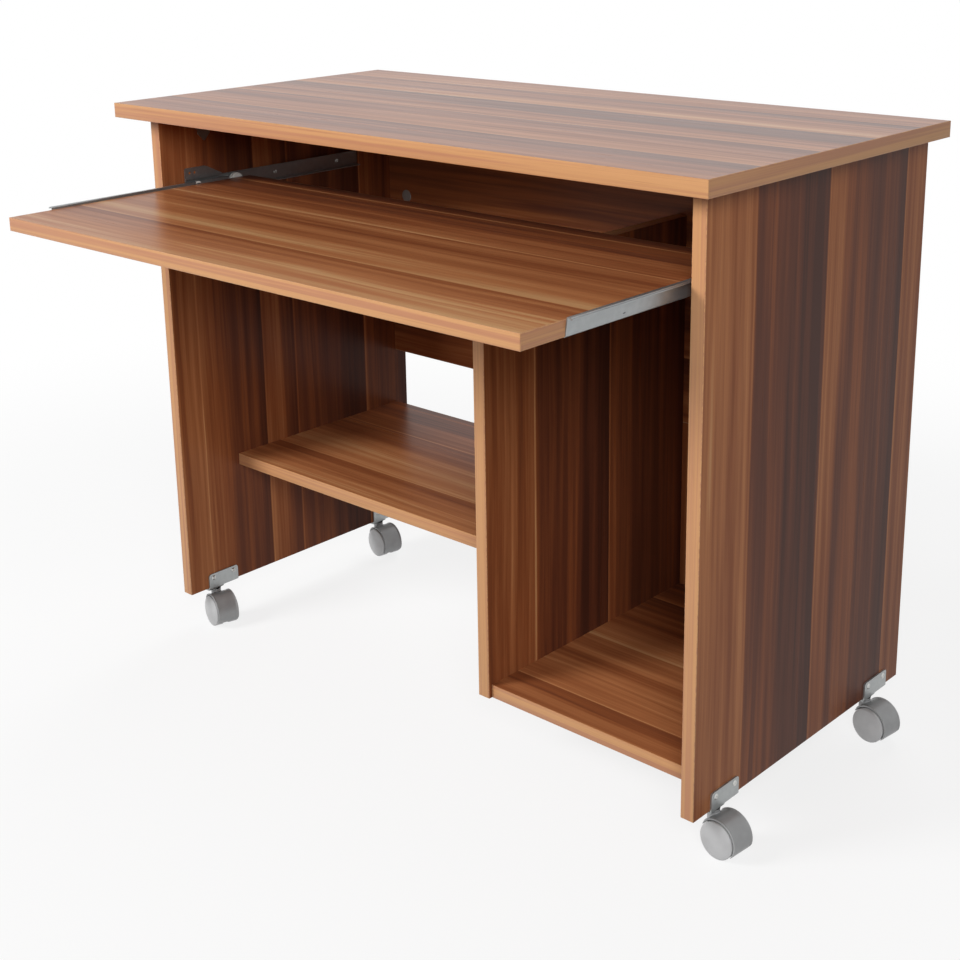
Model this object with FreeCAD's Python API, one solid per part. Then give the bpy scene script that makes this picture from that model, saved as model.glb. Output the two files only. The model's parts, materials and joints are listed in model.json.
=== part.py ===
import FreeCAD, Part
import math
import os

# Mobile writing desk: laminated boards on four twin-wheel castors, with a keyboard tray on roller slides.
# Millimetres. X runs to the user's right, Y from the user to the back, Z up from the floor.
# The origin is on the floor under the middle of the desk, with the tray pulled out as it is used.

# Tabletop
TOP_WIDTH = 900.0
TOP_DEPTH = 458.0
TOP_THICKNESS = 18.0
SIDE_OVERHANG = 25.0
FRONT_OVERHANG = 35.0

# Boards under the tabletop
BOARD = 16.0
EDGING = 1.0
SIDE_HEIGHT = 656.0
BAY_WIDTH = 290.0
PARTITION_SETBACK = 26.0
PARTITION_RISE = 21.0
PARTITION_HEADROOM = 17.0
FLOOR_SETBACK = 5.0
SHELF_RISE = 180.0
SHELF_SETBACK = 95.0
BACK_HEIGHT = 395.0
BACK_INSET = 6.0

# Keyboard tray
TRAY_DEPTH = 360.0
TRAY_DROP = 91.0
TRAY_REACH = 193.0

# Roller slides
SLIDE_GAP = 12.5
SLIDE_LENGTH = 300.0
SLIDE_STEEL = 1.2
SLIDE_SETBACK = 35.0
SLIDE_END_GAP = 1.0
SLIDE_FLOOR_REACH = 9.0
SLIDE_LIP_REACH = 5.5
SLIDE_LIP_CLEAR = 1.2
FLANGE_RISE = 4.6
FLANGE_DOWNTURN = 2.4
FLANGE_STOP_GAP = 5.0
TRAY_FOOT_REACH = 13.0
LUG_RISE = 13.0
LUG_FLAT = 34.0
LUG_RAMP = 26.0
LUG_HOLE_RADIUS = 2.0
LUG_HOLE_OFFSETS = (8.0, 16.0)
REAR_ROLLER_DIAMETER = 18.5
FRONT_ROLLER_OFFSET = 14.0
REAR_ROLLER_OFFSET = 18.0
ROLL_CLEAR = 0.3
ROLL_SIDE_CLEAR = 0.5
ROLLER_PIN_RADIUS = 2.5
RUNNING_FIT = 0.05
CABINET_SCREW_OFFSETS = (44.0, 150.0, 262.0)
TRAY_SCREW_OFFSETS = (82.0, 190.0, 252.0)
TRAY_SCREW_DROP = 8.0

# Castors
WHEEL_DIAMETER = 42.0
TREAD_WIDTH = 11.0
TREAD_EDGE = 1.0
RIM_WIDTH = 1.2
DISC_CROWN = 2.4
WHEEL_SIDE_PLAY = 0.4
CASTOR_TRAIL = 16.5
HOOD_CLEAR = 0.8
HOOD_WALL = 1.8
HOOD_BEAD = 0.6
HOOD_BEAD_WIDTH = 1.6
HOOD_LIP = 0.6
HOOD_WEB = 8.4
HOOD_WEB_DROP = 8.0
HOOD_REAR_ANGLE = -35.0
HOOD_FRONT_ANGLE = 150.0
NECK_RADIUS = 6.7
NECK_DROP = 16.4
NECK_RISE = 1.2
AXLE_RADIUS = 2.5
AXLE_COVER = 4.0
STEM_RADIUS = 3.0
STEM_ENGAGEMENT = 10.4
STEM_HEAD_RADIUS = 4.5
STEM_HEAD_HEIGHT = 1.5
SWIVEL_PLAY = 0.3
WASHER_THICKNESS = 0.8
WASHER_RADIUS = 7.0
PLATE = 2.0
PLATE_LENGTH = 50.0
PLATE_HEIGHT = 20.0
PLATE_CORNER = 4.0
PLATE_SETBACK = 30.0
TAB_GAP = 2.5
TAB_REACH = 20.0
TAB_MARGIN = 8.0
STEM_INSET = 6.0
STEM_OFFSET = 16.0
PLATE_SCREW_INSET = 8.0
PLATE_SCREW_RISE = 14.0
CASTOR_TURNS = {"right_front": -4.7, "right_rear": -6.5, "left_front": -14.2, "left_rear": -10.0}

# Cam connectors in the boards' ends
CAM_DISTANCE = 34.0
CAM_RADIUS = 7.5
CAM_DEPTH = 12.5
CAM_CLEAR = 0.1
CAM_CAP_RADIUS = 9.0
CAM_CAP_THICKNESS = 1.2
CAM_BOLT_RADIUS = 3.5
CAM_BOLT_THREAD_RADIUS = 2.5
CAM_BOLT_THREAD_LENGTH = 11.0
CAM_EDGE = 60.0
BACK_CAM_DROP = 157.0

# Angle brackets under the tabletop
ANGLE_LEG = 38.0
ANGLE_WIDTH = 18.0
ANGLE_STEEL = 2.5
ANGLE_HOLE = 20.0
ANGLE_FRONT_OFFSET = 69.0
ANGLE_REAR_OFFSET = 60.0
ANGLE_BACK_SPREAD = 200.0

# Screws
SCREW_RADIUS = 1.75
SCREW_LENGTH = 12.0
HEAD_RADIUS = 3.4
HEAD_HEIGHT = 1.6
HEAD_SIDE_CLEAR = 0.6
RECESS_WIDTH = 0.8
RECESS_LENGTH = 3.6
RECESS_DEPTH = 0.9
BACK_SCREW_LENGTH = 38.0
BACK_SCREW_EDGE = 60.0

V = FreeCAD.Vector
X = V(1, 0, 0)
Y = V(0, 1, 0)
Z = V(0, 0, 1)

# Levels from the floor up
wheel_radius = WHEEL_DIAMETER / 2
hood_inner = wheel_radius + HOOD_CLEAR
hood_outer = hood_inner + HOOD_WALL
neck_top = wheel_radius + hood_outer + HOOD_BEAD + NECK_RISE
tab_bottom = neck_top + SWIVEL_PLAY + WASHER_THICKNESS
tab_top = tab_bottom + PLATE
side_bottom = tab_top + TAB_GAP
top_underside = side_bottom + SIDE_HEIGHT
top_surface = top_underside + TOP_THICKNESS
tray_top = top_underside - TRAY_DROP
tray_underside = tray_top - BOARD
partition_bottom = side_bottom + PARTITION_RISE
partition_top = tray_underside - PARTITION_HEADROOM
floor_top = partition_bottom + BOARD
shelf_top = side_bottom + SHELF_RISE
back_bottom = top_underside - BACK_HEIGHT

# Places from front to back
top_front = (TRAY_REACH - TOP_DEPTH) / 2
top_rear = top_front + TOP_DEPTH
side_front = top_front + FRONT_OVERHANG
back_rear = top_rear - BACK_INSET
back_front = back_rear - BOARD
partition_front = side_front + PARTITION_SETBACK
floor_front = partition_front + FLOOR_SETBACK
shelf_front = side_front + SHELF_SETBACK
tray_front = top_front - TRAY_REACH
tray_rear = tray_front + TRAY_DEPTH

# Places across
side_outer = TOP_WIDTH / 2 - SIDE_OVERHANG
side_inner = side_outer - BOARD
partition_right = side_inner - BAY_WIDTH
partition_left = partition_right - BOARD
tray_half = side_inner - SLIDE_GAP

pieces = {}
cutters = {}


def span_box(low, high):
    """Make the box between two corners."""
    size = high - low
    return Part.makeBox(size.x, size.y, size.z, low)


def stand(shape, point, axis):
    """Place a shape that was made up along Z at a point and along an axis."""
    placed = shape.copy()
    placed.Placement = FreeCAD.Placement(point, FreeCAD.Rotation(Z, axis))
    return placed


def mirrored(shape):
    """Give the same shape on the other side of the desk."""
    return shape.mirror(V(0, 0, 0), X)


def bar(outline, y_from, y_to):
    """Run a closed outline of (x, z) points along Y."""
    points = [V(x, y_from, z) for x, z in outline]
    face = Part.Face(Part.makePolygon(points + points[:1]))
    return face.extrude(Y * (y_to - y_from))


def cut_from(name, tool):
    """Note a hole that is made in a board once all of its fittings are known."""
    cutters.setdefault(name, []).append(tool)


def banded_board(name, edging_name, low, high, sides):
    """Make a board with a strip of edging laid on each named side, and cut its noted holes."""
    low = V(low)
    high = V(high)
    strips = []
    for side in sides:
        strip_low = V(low)
        strip_high = V(high)
        axis = side[1]
        if side[0] == "-":
            setattr(strip_high, axis, getattr(low, axis) + EDGING)
            setattr(low, axis, getattr(strip_high, axis))
        else:
            setattr(strip_low, axis, getattr(high, axis) - EDGING)
            setattr(high, axis, getattr(strip_low, axis))
        strips.append(span_box(strip_low, strip_high))
    holes = cutters.get(name, [])
    core = span_box(low, high)
    if holes:
        core = core.cut(holes)
        strips = [strip.cut(holes) for strip in strips]
    pieces[name] = core.Solids[0]
    pieces[edging_name] = Part.makeCompound([solid for strip in strips for solid in strip.Solids])


def cross_recess():
    """Make the cross that a driver fits, sunk from the level of a screw head's face."""
    low = V(-RECESS_LENGTH / 2, -RECESS_WIDTH / 2, -RECESS_DEPTH)
    slot = span_box(low, V(-low.x, -low.y, 0))
    return slot.fuse(span_box(V(low.y, low.x, low.z), V(-low.y, -low.x, 0)))


def pan_screw(seat, outward, length=SCREW_LENGTH):
    """Make a screw whose head stands on a surface. Give it with the hole that its shank needs."""
    shank = Part.makeCylinder(SCREW_RADIUS, length, V(0, 0, -length))
    recess = cross_recess().translated(Z * HEAD_HEIGHT)
    head = Part.makeCylinder(HEAD_RADIUS, HEAD_HEIGHT).cut(recess)
    return stand(shank.fuse(head), seat, outward), stand(shank, seat, outward)


def flush_screw(seat, outward, length=SCREW_LENGTH):
    """Make a countersunk screw, level with a surface. Give it with the hole that it needs."""
    depth = HEAD_RADIUS - SCREW_RADIUS
    head = Part.makeCone(SCREW_RADIUS, HEAD_RADIUS, depth, V(0, 0, -depth))
    shank = Part.makeCylinder(SCREW_RADIUS, length - depth, V(0, 0, -length))
    body = head.fuse(shank)
    return stand(body.cut(cross_recess()), seat, outward), stand(body, seat, outward)


def cam_joint(board, neighbour, end, along, face):
    """Join a board's end to its neighbour, with the cam let in from one face of the board."""
    centre = end + along * CAM_DISTANCE
    mouth = centre + face * (BOARD / 2)
    shank = Part.makeCylinder(CAM_BOLT_RADIUS, CAM_DISTANCE, end, along)
    thread = Part.makeCylinder(CAM_BOLT_THREAD_RADIUS, CAM_BOLT_THREAD_LENGTH, end, -along)
    bore = Part.makeCylinder(CAM_BOLT_RADIUS + CAM_CLEAR, CAM_DISTANCE + CAM_CLEAR, end, along)
    cut_from(board, bore)
    cut_from(board, Part.makeCylinder(CAM_RADIUS + CAM_CLEAR, CAM_DEPTH, mouth, -face))
    cut_from(neighbour, thread)
    cams.append(Part.makeCylinder(CAM_RADIUS, CAM_DEPTH, mouth, -face).cut(bore))
    caps.append(Part.makeCylinder(CAM_CAP_RADIUS, CAM_CAP_THICKNESS, mouth, face))
    bolts.append(shank.fuse(thread))


def cam_joints():
    """Put the cam connectors in the ends of the back boards, the shelf and the bay's floor."""
    back_middle = back_front + BOARD / 2
    for z in (top_underside - BACK_CAM_DROP, back_bottom + CAM_EDGE):
        cam_joint("upper_back", "left_side", V(-side_inner, back_middle, z), X, -Y)
        cam_joint("upper_back", "right_side", V(side_inner, back_middle, z), -X, -Y)
    for z in (back_bottom - CAM_EDGE, partition_bottom + CAM_EDGE):
        cam_joint("bay_back", "right_side", V(side_inner, back_middle, z), -X, Y)
    shelf_middle = shelf_top - BOARD / 2
    for y in (shelf_front + CAM_EDGE, back_front - CAM_EDGE):
        cam_joint("shelf", "left_side", V(-side_inner, y, shelf_middle), X, -Z)
        cam_joint("shelf", "partition", V(partition_left, y, shelf_middle), -X, -Z)
    floor_middle = floor_top - BOARD / 2
    for y in (floor_front + CAM_EDGE, back_front - CAM_EDGE):
        cam_joint("bay_floor", "partition", V(partition_right, y, floor_middle), X, -Z)
        cam_joint("bay_floor", "right_side", V(side_inner, y, floor_middle), -X, -Z)
    pieces["cam_locks"] = Part.makeCompound(cams)
    pieces["cam_caps"] = Part.makeCompound(caps)
    pieces["cam_bolts"] = Part.makeCompound(bolts)


def back_screws():
    """Screw the two back boards to the partition's rear edge."""
    screws = []
    x = (partition_left + partition_right) / 2
    heights = {
        "upper_back": (back_bottom + BACK_SCREW_EDGE, partition_top - BACK_SCREW_EDGE),
        "bay_back": (partition_bottom + BACK_SCREW_EDGE, back_bottom - BACK_SCREW_EDGE),
    }
    for board, levels in heights.items():
        for z in levels:
            screw, hole = flush_screw(V(x, back_rear, z), Y, BACK_SCREW_LENGTH)
            cut_from(board, hole)
            cut_from("partition", hole)
            screws.append(screw)
    pieces["back_screws"] = Part.makeCompound(screws)


def angle_brackets():
    """Hang the tabletop's angle brackets in the corners between it, the sides and the back."""
    half = ANGLE_WIDTH / 2
    outline = [(-half, 0), (half, 0), (half, ANGLE_LEG - half), (0, ANGLE_LEG), (-half, ANGLE_LEG - half)]
    upright_points = [V(0, y, -reach) for y, reach in outline]
    level_points = [V(reach, y, 0) for y, reach in outline]
    upright = Part.Face(Part.makePolygon(upright_points + upright_points[:1])).extrude(X * ANGLE_STEEL)
    level = Part.Face(Part.makePolygon(level_points + level_points[:1])).extrude(Z * -ANGLE_STEEL)
    side_screw, side_hole = pan_screw(V(ANGLE_STEEL, 0, -ANGLE_HOLE), X)
    top_screw, top_hole = pan_screw(V(ANGLE_HOLE, 0, -ANGLE_STEEL), -Z)
    bracket = upright.fuse(level).cut([side_hole, top_hole])
    places = []
    for y in (side_front + ANGLE_FRONT_OFFSET, back_front - ANGLE_REAR_OFFSET):
        places.append(("left_side", V(-side_inner, y, top_underside), 0))
        places.append(("right_side", V(side_inner, y, top_underside), 180))
    for x in (-ANGLE_BACK_SPREAD, ANGLE_BACK_SPREAD):
        places.append(("upper_back", V(x, back_front, top_underside), -90))
    brackets = []
    screws = []
    for board, corner, turn in places:
        placement = FreeCAD.Placement(corner, FreeCAD.Rotation(Z, turn))
        brackets.append(bracket.transformed(placement.Matrix))
        screws.append(side_screw.transformed(placement.Matrix))
        screws.append(top_screw.transformed(placement.Matrix))
        cut_from(board, side_hole.transformed(placement.Matrix))
        cut_from("tabletop", top_hole.transformed(placement.Matrix))
    pieces["angle_brackets"] = Part.makeCompound(brackets)
    pieces["angle_screws"] = Part.makeCompound(screws)


def slides():
    """Make the roller slides of both sides: a rail on the side, a rail on the tray, and a roller on each."""
    inner = side_inner
    steel = SLIDE_STEEL
    flange_top = tray_top + FLANGE_RISE
    flange_under = flange_top - steel
    lip_under = flange_top + SLIDE_LIP_CLEAR
    lip_top = lip_under + steel
    rail_floor = lip_under - 2 * ROLL_CLEAR - REAR_ROLLER_DIAMETER
    rail_bottom = rail_floor - steel
    rail_front = side_front + SLIDE_SETBACK
    rail_rear = rail_front + SLIDE_LENGTH
    screw_line = (rail_floor + lip_under) / 2
    head_level = inner - steel - HEAD_HEIGHT - HEAD_SIDE_CLEAR
    tray_web = tray_half + steel

    cabinet_rail = bar([
        (inner, rail_bottom), (inner, lip_top), (inner - SLIDE_LIP_REACH, lip_top),
        (inner - SLIDE_LIP_REACH, lip_under), (inner - steel, lip_under), (inner - steel, rail_floor),
        (inner - SLIDE_FLOOR_REACH, rail_floor), (inner - SLIDE_FLOOR_REACH, rail_bottom),
    ], rail_front, rail_rear)
    lug_outline = [
        V(inner, rail_front, lip_under), V(inner, rail_front, lip_top + LUG_RISE),
        V(inner, rail_front + LUG_FLAT, lip_top + LUG_RISE),
        V(inner, rail_front + LUG_FLAT + LUG_RAMP, lip_top),
        V(inner, rail_front + LUG_FLAT + LUG_RAMP, lip_under),
    ]
    lug = Part.Face(Part.makePolygon(lug_outline + lug_outline[:1])).extrude(X * -steel)
    cabinet_rail = cabinet_rail.fuse(lug)
    for offset in LUG_HOLE_OFFSETS:
        middle = V(inner, rail_front + offset, lip_top + LUG_RISE / 2)
        cabinet_rail = cabinet_rail.cut(Part.makeCylinder(LUG_HOLE_RADIUS, steel, middle, -X))

    front_axis = V(inner, rail_front + FRONT_ROLLER_OFFSET, 0)
    front_radius = (flange_under - ROLL_CLEAR - rail_floor - ROLL_CLEAR) / 2
    front_axis.z = flange_under - ROLL_CLEAR - front_radius
    roller_inner = tray_web + ROLL_SIDE_CLEAR
    front_outer = head_level - steel - ROLL_SIDE_CLEAR
    front_pin = Part.makeCylinder(ROLLER_PIN_RADIUS, inner - roller_inner, front_axis, -X)
    front_bore = Part.makeCylinder(ROLLER_PIN_RADIUS + RUNNING_FIT, inner - roller_inner, front_axis, -X)
    roller_start = V(front_outer, front_axis.y, front_axis.z)
    front_roller = Part.makeCylinder(front_radius, front_outer - roller_inner, roller_start, -X).cut(front_bore)
    cabinet_rail = cabinet_rail.cut(front_pin)

    tray_rail_rear = tray_rear - SLIDE_END_GAP
    tray_rail_front = tray_rail_rear - SLIDE_LENGTH
    rear_radius = REAR_ROLLER_DIAMETER / 2
    rear_axis = V(tray_half, tray_rail_rear - REAR_ROLLER_OFFSET, rail_floor + ROLL_CLEAR + rear_radius)
    rear_length = head_level - tray_half
    rear_pin = Part.makeCylinder(ROLLER_PIN_RADIUS, rear_length, rear_axis, X)
    rear_bore = Part.makeCylinder(ROLLER_PIN_RADIUS + RUNNING_FIT, rear_length, rear_axis, X)
    roller_start = V(roller_inner, rear_axis.y, rear_axis.z)
    rear_roller = Part.makeCylinder(rear_radius, head_level - roller_inner, roller_start, X).cut(rear_bore)

    foot_bottom = tray_underside - steel
    flange_end = rear_axis.y - rear_radius - FLANGE_STOP_GAP
    foot = [
        (tray_half, tray_underside), (tray_half - TRAY_FOOT_REACH, tray_underside),
        (tray_half - TRAY_FOOT_REACH, foot_bottom), (tray_web, foot_bottom),
    ]
    web = bar(foot + [(tray_web, flange_top), (tray_half, flange_top)], tray_rail_front, flange_end)
    tail = bar(foot + [(tray_web, tray_top), (tray_half, tray_top)], flange_end, tray_rail_rear)
    flange = bar([
        (tray_web, flange_under), (tray_web, flange_top), (head_level, flange_top),
        (head_level, flange_under - FLANGE_DOWNTURN), (head_level - steel, flange_under - FLANGE_DOWNTURN),
        (head_level - steel, flange_under),
    ], tray_rail_front, flange_end)
    tray_rail = web.fuse(tail).fuse(flange).removeSplitter().cut(rear_pin)

    cabinet_screws = []
    for offset in CABINET_SCREW_OFFSETS:
        screw, hole = pan_screw(V(inner - steel, rail_front + offset, screw_line), -X)
        cabinet_rail = cabinet_rail.cut(hole)
        cut_from("right_side", hole)
        cut_from("left_side", mirrored(hole))
        cabinet_screws += [screw, mirrored(screw)]
    tray_screws = []
    for offset in TRAY_SCREW_OFFSETS:
        screw, hole = flush_screw(V(tray_web, tray_rail_front + offset, tray_top - TRAY_SCREW_DROP), X)
        tray_rail = tray_rail.cut(hole)
        cut_from("keyboard_tray", hole)
        cut_from("keyboard_tray", mirrored(hole))
        tray_screws += [screw, mirrored(screw)]

    made = {"cabinet_rail": cabinet_rail, "tray_rail": tray_rail,
            "front_roller": front_roller, "rear_roller": rear_roller}
    for name, shape in made.items():
        pieces["right_" + name] = shape
        pieces["left_" + name] = mirrored(shape)
    pieces["front_roller_pins"] = Part.makeCompound([front_pin, mirrored(front_pin)])
    pieces["rear_roller_pins"] = Part.makeCompound([rear_pin, mirrored(rear_pin)])
    pieces["cabinet_rail_screws"] = Part.makeCompound(cabinet_screws)
    pieces["tray_rail_screws"] = Part.makeCompound(tray_screws)


def castor_point(angle, radius, y):
    """Give a point round the axle of a castor that trails along X from its stem at the origin."""
    turn = math.radians(angle)
    return V(CASTOR_TRAIL + radius * math.cos(turn), y, wheel_radius + radius * math.sin(turn))


def hood_wall(outer, y_from, y_to):
    """Make a curved wall round the wheels, from the trailing side over the top to the front."""
    middle = (HOOD_REAR_ANGLE + HOOD_FRONT_ANGLE) / 2
    arcs = []
    for radius in (outer, hood_inner):
        ends = [castor_point(angle, radius, y_from) for angle in (HOOD_REAR_ANGLE, middle, HOOD_FRONT_ANGLE)]
        arcs.append((ends, Part.Arc(*ends).toShape()))
    (outer_ends, outer_arc), (inner_ends, inner_arc) = arcs
    closing = [Part.makeLine(outer_ends[i], inner_ends[i]) for i in (0, 2)]
    wire = Part.Wire(Part.__sortEdges__([outer_arc, closing[1], inner_arc, closing[0]]))
    return Part.Face(wire).extrude(Y * (y_to - y_from))


def castor_hood(wheel_inner, stem_bottom):
    """Make the hood, its middle web with the axle's hole, and the neck that turns on the stem."""
    half = wheel_inner + TREAD_WIDTH - HOOD_LIP
    axle_line = V(CASTOR_TRAIL, -half, wheel_radius)
    wheel_room = Part.makeCylinder(hood_inner, 2 * half, axle_line, Y)
    web = Part.makeCylinder(hood_inner + HOOD_WALL / 2, HOOD_WEB, V(CASTOR_TRAIL, -HOOD_WEB / 2, wheel_radius), Y)
    reach = hood_outer + CASTOR_TRAIL
    web_bottom = wheel_radius - HOOD_WEB_DROP
    below = span_box(V(-reach, -half, -reach), V(2 * reach, half, web_bottom))
    neck = Part.makeCylinder(NECK_RADIUS, NECK_DROP, V(0, 0, neck_top - NECK_DROP)).cut(wheel_room)
    hood = hood_wall(hood_outer, -half, half).fuse([
        hood_wall(hood_outer + HOOD_BEAD, -half, -half + HOOD_BEAD_WIDTH),
        hood_wall(hood_outer + HOOD_BEAD, half - HOOD_BEAD_WIDTH, half),
        web.cut(below),
        neck,
    ]).removeSplitter()
    stem_bore = Part.makeCylinder(STEM_RADIUS + RUNNING_FIT, neck_top - stem_bottom, V(0, 0, stem_bottom))
    return hood.cut([stem_bore, Part.makeCylinder(AXLE_RADIUS, 2 * half, axle_line, Y)])


def castor_wheel(wheel_inner):
    """Make one wheel: tread, rim and crowned outer disc, with a blind bore for the axle."""
    tread_end = wheel_inner + TREAD_WIDTH
    rim_end = tread_end + RIM_WIDTH
    disc_radius = wheel_radius - TREAD_EDGE
    crown_end = rim_end + DISC_CROWN
    crown_radius = (disc_radius ** 2 + DISC_CROWN ** 2) / (2 * DISC_CROWN)
    half_disc = disc_radius / 2
    half_level = crown_end - crown_radius + math.sqrt(crown_radius ** 2 - half_disc ** 2)
    bore_radius = AXLE_RADIUS + RUNNING_FIT
    bore_end = crown_end - AXLE_COVER

    def at(y, radius):
        return V(CASTOR_TRAIL, y, wheel_radius + radius)

    rim = [at(bore_end, 0), at(bore_end, bore_radius), at(wheel_inner, bore_radius),
           at(wheel_inner, disc_radius), at(wheel_inner + TREAD_EDGE, wheel_radius),
           at(tread_end, wheel_radius), at(rim_end, disc_radius)]
    edges = [Part.makeLine(a, b) for a, b in zip(rim, rim[1:])]
    edges.append(Part.Arc(rim[-1], at(half_level, half_disc), at(crown_end, 0)).toShape())
    edges.append(Part.makeLine(at(crown_end, 0), rim[0]))
    return Part.Face(Part.Wire(edges)).revolve(at(0, 0), Y, 360), bore_end


def castor_plate():
    """Make the angle plate of a castor, with its upright face on X = 0 and its stem's hole at the origin."""
    plate_start = -STEM_OFFSET
    tab_end = TAB_MARGIN
    upright = span_box(V(STEM_INSET, plate_start, tab_top),
                       V(STEM_INSET + PLATE, plate_start + PLATE_LENGTH, side_bottom + PLATE_HEIGHT))
    top = upright.BoundBox.ZMax
    corners = [edge for edge in upright.Edges
               if edge.BoundBox.XLength > PLATE / 2 and abs(edge.BoundBox.ZMin - top) < PLATE / 2]
    upright = upright.makeFillet(PLATE_CORNER, corners)
    tongue = span_box(V(STEM_INSET, plate_start, tab_bottom), V(STEM_INSET + PLATE, tab_end, side_bottom))
    tab = span_box(V(STEM_INSET + PLATE - TAB_REACH, plate_start, tab_bottom),
                   V(STEM_INSET + PLATE, tab_end, tab_top))
    return upright.fuse([tongue, tab]).removeSplitter()


def castors():
    """Put a castor near each corner, turned as it stands."""
    wheel_inner = HOOD_WEB / 2 + WHEEL_SIDE_PLAY
    stem_bottom = neck_top - STEM_ENGAGEMENT
    stem = Part.makeCylinder(STEM_RADIUS, tab_top - stem_bottom, V(0, 0, stem_bottom)).fuse(
        Part.makeCylinder(STEM_HEAD_RADIUS, STEM_HEAD_HEIGHT, V(0, 0, tab_top)))
    washer_low = V(0, 0, tab_bottom - WASHER_THICKNESS)
    washer = Part.makeCylinder(WASHER_RADIUS, WASHER_THICKNESS, washer_low).cut(
        Part.makeCylinder(STEM_RADIUS, WASHER_THICKNESS, washer_low))
    hood = castor_hood(wheel_inner, stem_bottom)
    wheel, axle_end = castor_wheel(wheel_inner)
    axle = Part.makeCylinder(AXLE_RADIUS, 2 * axle_end, V(CASTOR_TRAIL, -axle_end, wheel_radius), Y)
    left_wheel = wheel.mirror(V(0, 0, 0), Y)
    plate = castor_plate().cut(Part.makeCylinder(STEM_RADIUS, PLATE, V(0, 0, tab_bottom)))
    plate_starts = {"front": side_front + PLATE_SETBACK, "rear": top_rear - PLATE_SETBACK - PLATE_LENGTH}
    faces = {"right": side_outer, "left": -side_inner}
    stems = []
    washers = []
    screws = []
    for corner, turn in CASTOR_TURNS.items():
        side, end = corner.split("_")
        stem_point = V(faces[side] - STEM_INSET, plate_starts[end] + STEM_OFFSET, 0)
        turned = FreeCAD.Placement(stem_point, FreeCAD.Rotation(Z, turn)).Matrix
        name = corner + "_castor"
        pieces[name + "_hood"] = hood.transformed(turned)
        pieces[name + "_axle"] = axle.transformed(turned)
        pieces[name + "_right_wheel"] = wheel.transformed(turned)
        pieces[name + "_left_wheel"] = left_wheel.transformed(turned)
        stems.append(stem.translated(stem_point))
        washers.append(washer.translated(stem_point))
        fixed = plate.translated(stem_point)
        for y in (PLATE_SCREW_INSET, PLATE_LENGTH - PLATE_SCREW_INSET):
            seat = V(faces[side] + PLATE, plate_starts[end] + y, side_bottom + PLATE_SCREW_RISE)
            screw, hole = pan_screw(seat, X)
            fixed = fixed.cut(hole)
            cut_from(side + "_side", hole)
            screws.append(screw)
        pieces[name + "_plate"] = fixed
    pieces["castor_stems"] = Part.makeCompound(stems)
    pieces["castor_washers"] = Part.makeCompound(washers)
    pieces["castor_plate_screws"] = Part.makeCompound(screws)


def boards():
    """Cut the boards to size, band their edges and drill them for the fittings."""
    half_top = TOP_WIDTH / 2
    banded_board("tabletop", "tabletop_edging", V(-half_top, top_front, top_underside),
                 V(half_top, top_rear, top_surface), ["-y", "+y", "-x", "+x"])
    banded_board("left_side", "left_side_edging", V(-side_outer, side_front, side_bottom),
                 V(-side_inner, top_rear, top_underside), ["-y", "+y"])
    banded_board("right_side", "right_side_edging", V(side_inner, side_front, side_bottom),
                 V(side_outer, top_rear, top_underside), ["-y", "+y"])
    banded_board("partition", "partition_edging", V(partition_left, partition_front, partition_bottom),
                 V(partition_right, back_front, partition_top), ["-y", "+z"])
    banded_board("upper_back", "upper_back_edging", V(-side_inner, back_front, back_bottom),
                 V(side_inner, back_rear, top_underside), ["-z"])
    banded_board("bay_back", "bay_back_edging", V(partition_left, back_front, partition_bottom),
                 V(side_inner, back_rear, back_bottom), ["-x", "-z"])
    banded_board("shelf", "shelf_edging", V(-side_inner, shelf_front, shelf_top - BOARD),
                 V(partition_left, back_front, shelf_top), ["-y", "+y"])
    banded_board("bay_floor", "bay_floor_edging", V(partition_right, floor_front, partition_bottom),
                 V(side_inner, back_front, floor_top), ["-y"])
    banded_board("keyboard_tray", "keyboard_tray_edging", V(-tray_half, tray_front, tray_underside),
                 V(tray_half, tray_rear, tray_top), ["-y", "+y", "-x", "+x"])


cams = []
caps = []
bolts = []
cam_joints()
back_screws()
angle_brackets()
slides()
castors()
boards()

os.makedirs("parts", exist_ok=True)
for name, shape in pieces.items():
    shape.exportStep("parts/" + name + ".step")
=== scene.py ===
import json
import math

import bmesh
import bpy
from bpy.props import FloatProperty, FloatVectorProperty, IntProperty, PointerProperty
from mathutils import Matrix, Vector


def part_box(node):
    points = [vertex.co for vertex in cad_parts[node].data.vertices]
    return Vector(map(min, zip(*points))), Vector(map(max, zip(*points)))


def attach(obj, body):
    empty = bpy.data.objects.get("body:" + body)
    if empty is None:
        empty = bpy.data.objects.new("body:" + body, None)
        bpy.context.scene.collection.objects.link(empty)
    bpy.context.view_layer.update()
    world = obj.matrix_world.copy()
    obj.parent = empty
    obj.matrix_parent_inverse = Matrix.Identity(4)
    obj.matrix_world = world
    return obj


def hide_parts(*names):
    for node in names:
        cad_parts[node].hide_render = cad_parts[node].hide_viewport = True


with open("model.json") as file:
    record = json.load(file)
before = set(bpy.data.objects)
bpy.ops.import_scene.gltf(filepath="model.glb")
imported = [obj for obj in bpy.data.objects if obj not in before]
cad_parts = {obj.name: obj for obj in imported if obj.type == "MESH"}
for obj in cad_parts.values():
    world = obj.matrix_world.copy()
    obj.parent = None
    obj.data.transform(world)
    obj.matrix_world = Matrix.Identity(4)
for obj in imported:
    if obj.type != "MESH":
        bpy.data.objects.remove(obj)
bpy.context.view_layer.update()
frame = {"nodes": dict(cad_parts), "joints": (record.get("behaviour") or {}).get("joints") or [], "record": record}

bl_info = {
    "name": "Mobile Writing Desk",
    "version": (1, 0, 0),
    "blender": (4, 5, 0),
    "location": "3D View > Sidebar > Desk",
    "description": "Finishes the boards, slides, castors and fittings of a mobile writing desk",
    "category": "Object",
}

MM = 0.001
TINY = 1e-6
X, Y, Z = 0, 1, 2
CORNERS = ("right_front", "right_rear", "left_front", "left_rear")


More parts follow.
